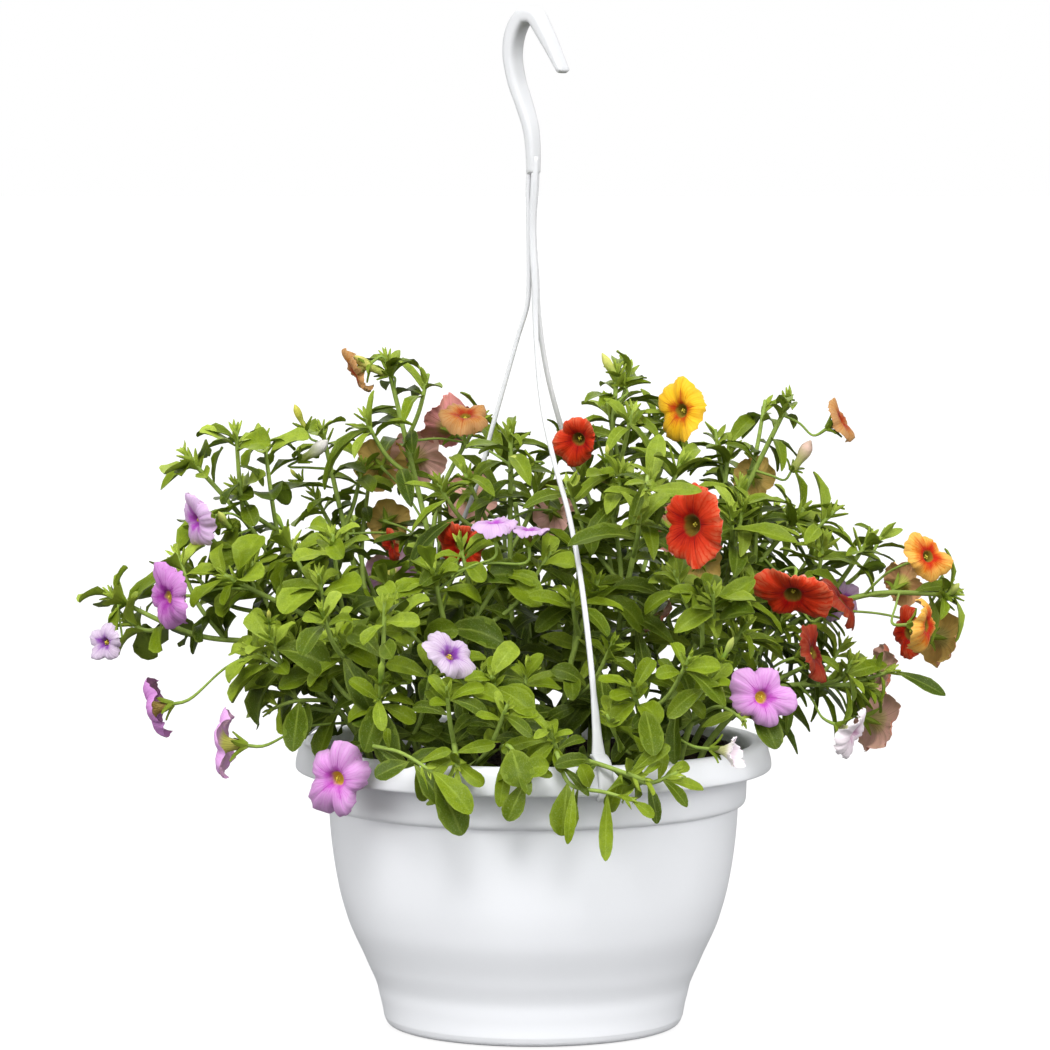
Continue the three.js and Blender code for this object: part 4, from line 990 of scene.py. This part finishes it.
def living_leaf():
    """Leaf colour: deep green when old, mid green when grown, lime when young; a slow mottle; a pale midrib, side
    veins, foot and margin; fine dark specks, and fine pale bluish ones that are painted glints of gloss; a paler
    underside; and each leaf a little off its neighbours. Where it is stained, it takes its paint instead."""
    tree, given = skin_group("Living leaf", {
        "Place": "Vector", "Blade": "Vector", "Luck": "Float", "Age": "Float", "Paint": "Color", "Stain": "Float",
        "Old": "Color", "Grown": "Color", "Young": "Color",
    })
    along, aside, under = add(tree, "ShaderNodeSeparateXYZ", {0: given["Blade"]}).outputs
    mottle = noise(tree, given["Place"], 260.0, 3.0)
    fine = noise(tree, given["Place"], 1500.0, 2.0)
    age = sums(tree, "MULTIPLY_ADD", sums(tree, "SUBTRACT", given["Luck"], 0.5), 0.22, given["Age"])
    green = blend(tree, between(tree, age, 0.0, 0.5), given["Old"], given["Grown"])
    green = blend(tree, between(tree, age, 0.42, 1.0), green, given["Young"])
    green = blend(tree, between(tree, mottle, 0.35, 0.8, 0, 0.35), green, (0.04, 0.09, 0.006, 1))
    rib = between(tree, aside, 0.02, 0.16, 1, 0)
    wave = sums(tree, "MULTIPLY", sums(tree, "MULTIPLY_ADD", aside, 0.35, along), 18.0)
    veins = between(tree, sums(tree, "ABSOLUTE", sums(tree, "SINE", wave)), 0.0, 0.25, 1, 0)
    lines = sums(tree, "MAXIMUM", rib, sums(tree, "MULTIPLY", veins, 0.35))
    lines = sums(tree, "MULTIPLY", lines, between(tree, along, 0.9, 0.1, 0.25, 0.9))
    pale = blend(tree, 0.5, green, (0.48, 0.6, 0.1, 1))
    look = blend(tree, sums(tree, "MULTIPLY", lines, 0.7), green, pale)
    look = blend(tree, between(tree, along, 0.02, 0.4, 0.4, 0), look, pale)
    look = blend(tree, between(tree, aside, 0.75, 1.0, 0, 0.3), look, pale)
    # Fine pale bluish specks: painted glints of gloss.
    look = blend(tree, between(tree, fine, 0.52, 0.78, 0, 0.16), look, (0.46, 0.54, 0.26, 1))
    look = blend(tree, between(tree, fine, 0.25, 0.47, 0.28, 0), look, (0.03, 0.06, 0.001, 1))
    look = blend(tree, sums(tree, "MULTIPLY", under, 0.5), look, (0.23, 0.32, 0.035, 1))
    wood = blend(tree, between(tree, mottle, 0.3, 0.75), given["Paint"], (0.1, 0.14, 0.03, 1))
    look = blend(tree, given["Stain"], look, blend(tree, 0.65, wood, given["Paint"]))
    rough = sums(tree, "MULTIPLY_ADD", fine, 0.2, 0.34)
    height = sums(tree, "SUBTRACT", sums(tree, "MULTIPLY", fine, 0.3), sums(tree, "MULTIPLY", lines, 0.8))
    return gives(tree, Color=look, Roughness=rough, Height=height)


LIVING_LEAF = living_leaf()


def marks_of(tree, name):
    """The sockets of a piece's colour attribute."""
    return add(tree, "ShaderNodeAttribute", attribute_name=name).outputs


def foliage(name, old, grown_up, young):
    """Leaf and stem material of one plant."""
    made, tree, shader = material(name, Specular_IOR_Level=0.12)
    blade, paint, stage = (marks_of(tree, mark) for mark in ("blade", "paint", "stage"))
    covered(tree, shader, LIVING_LEAF, {
        "Blade": blade["Vector"], "Luck": blade["Alpha"], "Age": stage["Fac"], "Paint": paint["Color"],
        "Stain": paint["Alpha"], "Old": (*old, 1), "Grown": (*grown_up, 1), "Young": (*young, 1),
    }, 0.6, 0.0005)
    return made


GREENS = {
    ROUND: foliage("round leaves", (0.037, 0.061, 0.001), (0.172, 0.24, 0.005), (0.46, 0.57, 0.075)),
    NARROW: foliage("narrow leaves", (0.035, 0.058, 0.001), (0.15, 0.21, 0.005), (0.42, 0.52, 0.07)),
}
for number, (kind, root, way, twigs) in enumerate(STEMS):
    shape, marks = grown(number, kind, root, way, twigs)
    name = f"stem_{number + 1:02d}"
    stands_for(piece(name, shape, GREENS[kind], marks, crease=70), kind, name)


# Flowers. Each is one soft, velvety corolla: a slim tube that opens into a round face of five shallow lobes,
# veined from the throat, with a duller back; the style and anthers show as a yellow dot in the throat.

# The corolla's profile, inside and out: radius as a share of the face's, height as a share of the tube's length
PETAL_INSIDE = [(0.0, 0.36), (0.1, 0.37), (0.145, 0.48), (0.18, 0.64), (0.22, 0.78), (0.27, 0.885), (0.38, 0.955),
                (0.52, 0.99), (0.67, 1.01), (0.82, 1.01), (0.93, 0.995), (1.0, 0.97)]
PETAL_OUTSIDE = [(1.0, 0.95), (0.93, 0.965), (0.82, 0.975), (0.67, 0.97), (0.52, 0.94), (0.38, 0.885), (0.28, 0.79),
                 (0.21, 0.66), (0.18, 0.52), (0.155, 0.36), (0.12, 0.18), (0.085, 0.06), (0.0, 0.03)]
# How deep the notches between the lobes are, by colour
LOBING = {"pink": 0.25, "lilac": 0.25, "pale_lilac": 0.27, "magenta": 0.3, "blush": 0.16, "peach": 0.28}
# By flower. Faces drawn out one way: the axis in degrees, turning left from the top, and how much longer it is
DRAWN_OUT = {0: (-32, 0.16), 1: (58, 0.13), 2: (62, 0.12), 5: (20, 0.06), 9: (-40, 0.18), 10: (22, 0.13),
             11: (0, 0.05), 13: (66, 0.22), 15: (25, 0.16), 16: (46, 0.2)}
# Faces that reach further to one side of the throat: the direction in the same degrees, and how much further
REACHING = {0: (130, 0.12), 1: (-80, 0.04), 9: (130, 0.1), 10: (95, 0.1), 11: (-95, 0.22), 13: (-110, 0.08)}
# Faces that lie flatter than most, and those that aren't quite open
FLAT = {7: 0.45, 8: 0.3, 12: 0.6}
OPENING = {8: 0.97, 9: 0.85, 11: 0.9, 21: 0.92, 22: 0.45, 24: 0.7}
# Where the middle of the first lobe stands, in degrees turning left from the top
FIRST_LOBE = {0: -15, 1: 45, 2: 10, 5: 20, 6: 0}
LOBE = 2 * np.pi / 5


def corolla(number, flower):
    """Rings run from the throat's floor out to the edge and back down the outside of the tube. The face's radius
    swells at each of five lobes and dips in a notch between them; each lobe leans by its own angle; the height
    sways with two slow waves round the face, sinks along the lines between the lobes and turns back at the edge."""
    ahead, depth, seat = flower_frame(flower)
    half, opening, calm = flower[5] / 2, OPENING.get(number, 1.0), FLAT.get(number, 1)
    outline = np.array(PETAL_INSIDE + PETAL_OUTSIDE)
    f, g = outline[1:-1, 0, None], outline[1:-1, 1, None]
    turn = np.linspace(0, 2 * np.pi, 75, endpoint=False)
    a, b, c, d = (float(draw(number, 5, 40 + k)) for k in range(4))
    spin = turn + math.radians(FIRST_LOBE.get(number, 360 * a))
    far = np.clip((f - 0.26) / 0.74, 0, 1)
    past_rib, past_notch = np.mod(turn, LOBE), np.mod(turn + LOBE / 2, LOBE)
    rib = np.exp(-np.minimum(past_rib, LOBE - past_rib) / 0.1)
    notch = np.exp(-np.minimum(past_notch, LOBE - past_notch) / 0.13)
    lobe = np.cos(5 * turn)
    axis, drawn = DRAWN_OUT.get(number, (0, 0))
    onward, further = REACHING.get(number, (0, 0))
    swell = 0.03 * lobe - LOBING.get(flower[2], 0.09) * calm * notch + 0.05 * np.sin(turn + 6.3 * a)
    swell = swell + 0.022 * np.sin(9 * turn + 5 * b) + 0.014 * np.sin(17 * turn + 8 * c)
    swell = swell + drawn * np.cos(2 * (spin - math.radians(axis))) + further * np.cos(spin - math.radians(onward))
    radius = half * f * (1 + far**2 * swell) * (1 - far * 0.5 * (1 - opening))
    leans = 0.5 * (draw(number, np.arange(6) % 5, 47) - 0.5)
    sway = 0.1 * np.sin(2 * turn + 6.3 * c) + 0.07 * np.sin(3 * turn + 6.3 * d)
    sway = (sway + np.interp(turn, LOBE * np.arange(6), leans)) * calm
    height = 1 - opening + far * sway - 0.16 * notch + 0.06 * lobe * far - (0.12 + 0.16 * b) * far**3 * opening
    height = height + far * 0.036 * calm * (np.sin(19 * turn + 9 * a) + np.sin(27 * turn + 7 * c))
    height = depth * g + half * far * (height - 0.05 * rib * (1 - far))
    rings = seat + height[..., None] * ahead + radius[..., None] * around(ahead, spin)
    ends = seat + ahead * depth * outline[[0, -1], 1, None]
    back = (np.arange(1, len(outline) - 1) >= len(PETAL_INSIDE)).astype(float)[:, None] + 0 * turn
    mark = np.stack([f * np.cos(turn), f * np.sin(turn), back, g + 0 * turn], -1).reshape(-1, 4)
    return shells(rings[None], ends[:1], ends[1:]), np.concatenate([mark, [[0, 0, 0, outline[0, 1]], [0, 0, 1, 0]]])


def pistil(number, flower):
    """Style with its round stigma, and four anthers round it: small balls on the throat's axis."""
    ahead, depth, seat = flower_frame(flower)
    turn = np.radians([0, 80, 170, 265]) + number
    anthers = seat + ahead * depth * 0.68 + 0.9 * around(ahead, turn)
    spots = np.concatenate([seat + ahead[None] * depth * 0.74, anthers])
    size = np.array([0.6, 0.42, 0.4, 0.45, 0.4])
    latitude = np.radians([-60, -25, 10, 45, 72])[:, None]
    longitude = np.linspace(0, 2 * np.pi, 8, endpoint=False)
    ball = np.stack([np.cos(latitude) * np.cos(longitude), np.cos(latitude) * np.sin(longitude),
                     np.sin(latitude) + 0 * longitude], -1)
    rings = spots[:, None, None] + size[:, None, None, None] * ball
    shape = shells(rings, spots - UP * size[:, None], spots + UP * size[:, None])
    return shape, np.tile([0.0, 0.0, 0.0, -1.0], (len(shape[0]), 1))


TINTS = ("Face", "Edge", "Ring", "Throat", "Vein", "Back", "Tube")


def petal_skin():
    """Petal colour: face to edge, a darker ring that fades out from the throat with fingers along the veins, five
    main veins with finer ones between, a pale or olive throat; the outside has its own colour and a streaked
    tube. The pistil, whose depth is marked as less than nothing, is yellow."""
    values = {key: "Float" for key in ("Depth", "Reach", "Veined", "Mouth", "Rim")}
    tree, given = skin_group("Petal skin", {
        "Place": "Vector", "Petal": "Vector", **values, **{key: "Color" for key in TINTS},
    })
    right, up, outside = add(tree, "ShaderNodeSeparateXYZ", {0: given["Petal"]}).outputs
    flat = add(tree, "ShaderNodeCombineXYZ", {0: right, 1: up}).outputs[0]
    radius = add(tree, "ShaderNodeVectorMath", {0: flat}, operation="LENGTH").outputs["Value"]
    angle = sums(tree, "ARCTAN2", up, right)
    cloud = noise(tree, given["Place"], 220.0, 3.0)
    jitter = sums(tree, "MULTIPLY", sums(tree, "SUBTRACT", cloud, 0.5), 0.5)

    def streak(times, width, wander, strength=1.0):
        bent = sums(tree, "MULTIPLY", sums(tree, "MULTIPLY_ADD", jitter, wander, angle), times)
        return between(tree, sums(tree, "ABSOLUTE", sums(tree, "SINE", bent)), 0.0, width, strength, 0)

    hair = streak(24.0, 0.6, 0.5)
    veins = sums(tree, "MAXIMUM", streak(7.5, 0.22, 0.3, 0.5), sums(tree, "MULTIPLY", hair, 0.28))
    veins = sums(tree, "MAXIMUM", streak(2.5, 0.09, 0.12), veins)
    fade = sums(tree, "MULTIPLY", between(tree, radius, 0.15, 1.0, 1, 0.15), given["Veined"])
    veins = sums(tree, "MULTIPLY", veins, fade)
    star = sums(tree, "MULTIPLY_ADD", sums(tree, "COSINE", sums(tree, "MULTIPLY", angle, 5.0)), -0.07, radius)
    inward = sums(tree, "ADD", star, sums(tree, "MULTIPLY_ADD", veins, -0.3, jitter))
    ring = between(tree, inward, sums(tree, "MULTIPLY", given["Reach"], 0.35), given["Reach"], 1, 0)
    uneven = sums(tree, "MULTIPLY_ADD", hair, -0.3, sums(tree, "MULTIPLY_ADD", jitter, 2.2, radius))
    rim = between(tree, sums(tree, "SUBTRACT", uneven, given["Rim"]), -0.3, 0.4)
    face = blend(tree, rim, given["Face"], given["Edge"])
    face = blend(tree, between(tree, cloud, 0.3, 0.8, 0, 0.18), face, given["Ring"])
    face = blend(tree, ring, face, given["Ring"])
    face = blend(tree, sums(tree, "MULTIPLY", veins, 0.9, clamp=True), face, given["Vein"])
    inside = sums(tree, "MULTIPLY_ADD", jitter, 0.25, radius)
    throat = between(tree, inside, sums(tree, "MULTIPLY", given["Mouth"], 0.7), given["Mouth"], 1, 0)
    face = blend(tree, throat, face, given["Throat"])
    back = blend(tree, sums(tree, "MULTIPLY", veins, 0.6), given["Back"], given["Vein"])
    back = blend(tree, between(tree, cloud, 0.3, 0.8, 0, 0.3), back, given["Tube"])
    pipe = blend(tree, streak(10.0, 0.5, 0.2, 0.55), given["Tube"], (0.16, 0.09, 0.03, 1))
    back = blend(tree, between(tree, radius, 0.25, 0.5, 1, 0), back, pipe)
    look = blend(tree, outside, face, back)
    look = blend(tree, sums(tree, "LESS_THAN", given["Depth"], -0.5), look, (0.62, 0.52, 0.06, 1))
    rough = sums(tree, "MULTIPLY_ADD", cloud, 0.15, 0.45)
    height = sums(tree, "SUBTRACT", sums(tree, "MULTIPLY", cloud, 0.4), sums(tree, "MULTIPLY", veins, 0.6))
    return gives(tree, Color=look, Roughness=rough, Height=height)


PETAL_SKIN = petal_skin()
GREEN_TUBE = (0.5, 0.5, 0.1)
OLIVE_TUBE = (0.38, 0.27, 0.07)
# Petal colours: face, edge, ring, throat, vein, back, tube; reach of the ring, strength of the veins
PETALS = {
    "pink": ((0.62, 0.26, 0.61), (0.66, 0.37, 0.66), (0.5, 0.08, 0.48), (0.8, 0.58, 0.08), (0.4, 0.06, 0.38),
             (0.5, 0.26, 0.47), GREEN_TUBE, 0.44, 0.9),
    "lilac": ((0.55, 0.35, 0.57), (0.6, 0.44, 0.62), (0.4, 0.07, 0.46), (0.7, 0.55, 0.15), (0.38, 0.09, 0.44),
              (0.48, 0.28, 0.5), OLIVE_TUBE, 0.55, 1.0),
    "pale_lilac": ((0.5, 0.38, 0.51), (0.62, 0.53, 0.63), (0.24, 0.06, 0.36), (0.7, 0.5, 0.1), (0.26, 0.09, 0.36),
                   (0.6, 0.47, 0.6), GREEN_TUBE, 0.5, 1.0),
    "magenta": ((0.47, 0.15, 0.46), (0.54, 0.25, 0.54), (0.28, 0.025, 0.28), (0.66, 0.46, 0.1), (0.26, 0.03, 0.25),
                (0.22, 0.085, 0.21), OLIVE_TUBE, 0.55, 1.0),
    "red": ((0.58, 0.035, 0.008), (0.66, 0.16, 0.07), (0.34, 0.004, 0.002), (0.17, 0.11, 0.012),
            (0.15, 0.002, 0.002), (0.7, 0.27, 0.26), OLIVE_TUBE, 0.62, 1.1),
    # A darker copy of the red, in the red's slot: painted shade for red blooms that sit in shade among the leaves.
    "shaded_red": ((0.26, 0.022, 0.008), (0.32, 0.07, 0.03), (0.13, 0.003, 0.002), (0.17, 0.11, 0.012),
                (0.1, 0.002, 0.003), (0.42, 0.22, 0.2), OLIVE_TUBE, 0.62, 1.1),
    "yellow": ((0.78, 0.42, 0.01), (0.82, 0.5, 0.03), (0.46, 0.04, 0.003), (0.26, 0.2, 0.02), (0.4, 0.045, 0.005),
               (0.75, 0.42, 0.08), GREEN_TUBE, 0.58, 1.0),
    "orange": ((0.72, 0.25, 0.012), (0.76, 0.44, 0.09), (0.5, 0.022, 0.003), (0.24, 0.18, 0.02), (0.4, 0.02, 0.004),
               (0.62, 0.32, 0.16), GREEN_TUBE, 0.85, 1.0),
    "peach": ((0.42, 0.16, 0.03), (0.46, 0.26, 0.1), (0.34, 0.028, 0.005), (0.26, 0.2, 0.02), (0.28, 0.04, 0.008),
              (0.32, 0.15, 0.05), (0.36, 0.32, 0.08), 0.62, 1.15),
    # A copy of the faded colour, in its slot, whose back, tube and veins are much lighter: painted light that stands
    # in for light shining through the petals of spent blooms in shade.
    "backlit_faded": ((0.5, 0.1, 0.06), (0.5, 0.2, 0.12), (0.3, 0.02, 0.01), (0.3, 0.25, 0.05), (0.3, 0.1, 0.12),
              (0.95, 0.55, 0.48), (0.62, 0.44, 0.22), 0.6, 1.3),
    "faded": ((0.5, 0.1, 0.06), (0.5, 0.2, 0.12), (0.3, 0.02, 0.01), (0.3, 0.25, 0.05), (0.2, 0.07, 0.08),
              (0.68, 0.39, 0.32), (0.46, 0.38, 0.15), 0.6, 1.2),
    "khaki": ((0.5, 0.12, 0.06), (0.5, 0.24, 0.12), (0.3, 0.02, 0.01), (0.3, 0.25, 0.05), (0.24, 0.12, 0.07),
              (0.68, 0.46, 0.13), (0.46, 0.4, 0.12), 0.6, 1.1),
    "blush": ((0.86, 0.74, 0.8), (0.9, 0.84, 0.86), (0.6, 0.35, 0.5), (0.75, 0.6, 0.1), (0.56, 0.34, 0.48),
              (0.84, 0.76, 0.78), (0.64, 0.64, 0.3), 0.42, 0.6),
}
# Radius of the throat, and radius about which the edge's tint sets in, as shares of the face's own radius
MOUTH = {"red": 0.3, "shaded_red": 0.28, "orange": 0.3, "peach": 0.26, "yellow": 0.28, "pink": 0.22, "magenta": 0.22}
RIM = {"red": 0.88, "shaded_red": 0.85, "yellow": 0.6}


def petal(name, tints, reach, veined):
    """One flower colour as a material."""
    made, tree, shader = material(f"{name} petal", Specular_IOR_Level=0.08, Sheen_Weight=0.05, Sheen_Roughness=0.4)
    spot = marks_of(tree, "petal")
    covered(tree, shader, PETAL_SKIN, {
        "Petal": spot["Vector"], "Depth": spot["Alpha"], "Reach": reach, "Veined": veined,
        "Mouth": MOUTH.get(name, 0.17), "Rim": RIM.get(name, 0.55),
        **{key: (*tint, 1) for key, tint in zip(TINTS, tints)},
    }, 0.75, 0.0005)
    return made


# Colours that share another one's slot
SLOT_COLOUR = {"khaki": "faded", "backlit_faded": "faded", "peach": "orange", "shaded_red": "red"}
PETAL_MATERIALS = {colour: petal(colour, values[:7], *values[7:]) for colour, values in PETALS.items()}
for number, flower in enumerate(ALL_FLOWERS):
    colour = flower[2]
    corolla_shape, corolla_marks = corolla(number, flower)
    pistil_shape, pistil_marks = pistil(number, flower)
    hidden = number - len(FLOWERS)
    name = f"bloom_{number + 1:02d}" if hidden < 0 else f"deep_bloom_{hidden + 1:02d}"
    marks = {"petal": np.concatenate([corolla_marks, pistil_marks])}
    bloom = piece(name, joined([corolla_shape, pistil_shape]), PETAL_MATERIALS[colour], marks, crease=75)
    stands_for(bloom, f"petal_{SLOT_COLOUR.get(colour, colour)}", *([name] if hidden < 0 else []))


# Floor, light and camera. A plain white floor under an even white sky, one soft main light from high in front,
# weaker fills from low in front, both sides and behind, and the camera at the photograph's height and distance.

FLOOR_REACH, FLOOR_HEIGHT = 40.0, -0.0004
# The side of the photograph, the focal length and the shift of its middle, in its pixels; the tilt down in radians
PHOTO_SIDE, FOCAL, SHIFT, TILT = 1050, 4971, -8.5, 0.0768


def white_floor():
    """A plain square floor just under the pot; it is seen as white as the sky, and throws little light back."""
    mesh = bpy.data.meshes.new("floor")
    corners = [(x * FLOOR_REACH, y * FLOOR_REACH, FLOOR_HEIGHT) for x, y in ((-1, -1), (1, -1), (1, 1), (-1, 1))]
    mesh.from_pydata(corners, [], [(0, 1, 2, 3)])
    made, tree, shader = material("white floor", Roughness=0.9, Specular_IOR_Level=0.1)
    shader.inputs["Base Color"].default_value = (0.14, 0.14, 0.14, 1)
    shader.inputs["Emission Color"].default_value = (1, 1, 1, 1)
    seen = add(tree, "ShaderNodeLightPath").outputs["Is Camera Ray"]
    tree.links.new(sums(tree, "MULTIPLY", seen, 0.88), shader.inputs["Emission Strength"])
    mesh.materials.append(made)
    obj = bpy.data.objects.new("floor", mesh)
    bpy.context.scene.collection.objects.link(obj)


def sky():
    """A white sky: full white where it is seen; where it lights it is softer, and dark to the left and right."""
    world = bpy.data.worlds.new("studio")
    bpy.context.scene.world = world
    world.use_nodes = True
    tree = world.node_tree
    tree.nodes.clear()
    seen = add(tree, "ShaderNodeBackground", {"Color": (1, 1, 1, 1), "Strength": 1.0})
    way = add(tree, "ShaderNodeSeparateXYZ", {0: add(tree, "ShaderNodeTexCoord").outputs["Generated"]}).outputs
    dimmed = between(tree, sums(tree, "ABSOLUTE", way[0]), 0.6, 0.98, 0.64, 0.25)
    lit = add(tree, "ShaderNodeBackground", {"Color": (0.96, 0.98, 1, 1), "Strength": dimmed})
    path = add(tree, "ShaderNodeLightPath")
    both = add(tree, "ShaderNodeMixShader", {0: path.outputs["Is Camera Ray"], 1: lit.outputs[0], 2: seen.outputs[0]})
    add(tree, "ShaderNodeOutputWorld", {0: both.outputs[0]})


def sun(name, azimuth, elevation, strength, spread):
    """A distant soft light that shines from the given side, as wide in degrees as its spread."""
    lamp = bpy.data.lights.new(name, "SUN")
    lamp.energy, lamp.angle = strength, math.radians(spread)
    obj = bpy.data.objects.new(name, lamp)
    obj.rotation_euler = (math.radians(90 - elevation), 0, math.radians(azimuth))
    bpy.context.scene.collection.objects.link(obj)


white_floor()
sky()
sun("key", -4, 50, 2.12, 28)
sun("front fill", 2, 12, 0.85, 90)
sun("left fill", -66, 16, 1.55, 50)
sun("right fill", 66, 16, 1.7, 50)
sun("back", 180, 40, 0.8, 50)

scene = bpy.context.scene
scene.view_settings.view_transform = "Standard"
scene.view_settings.look = "None"
camera = bpy.data.objects.new("camera", bpy.data.cameras.new("camera"))
camera.data.sensor_width = 36.0
camera.data.lens = FOCAL / PHOTO_SIDE * camera.data.sensor_width
camera.data.shift_x = SHIFT / PHOTO_SIDE
camera.data.clip_start, camera.data.clip_end = 0.05, 200.0
camera.location = EYE * 0.001
camera.rotation_euler = (math.pi / 2 - TILT, 0, 0)
scene.collection.objects.link(camera)
scene.camera = camera
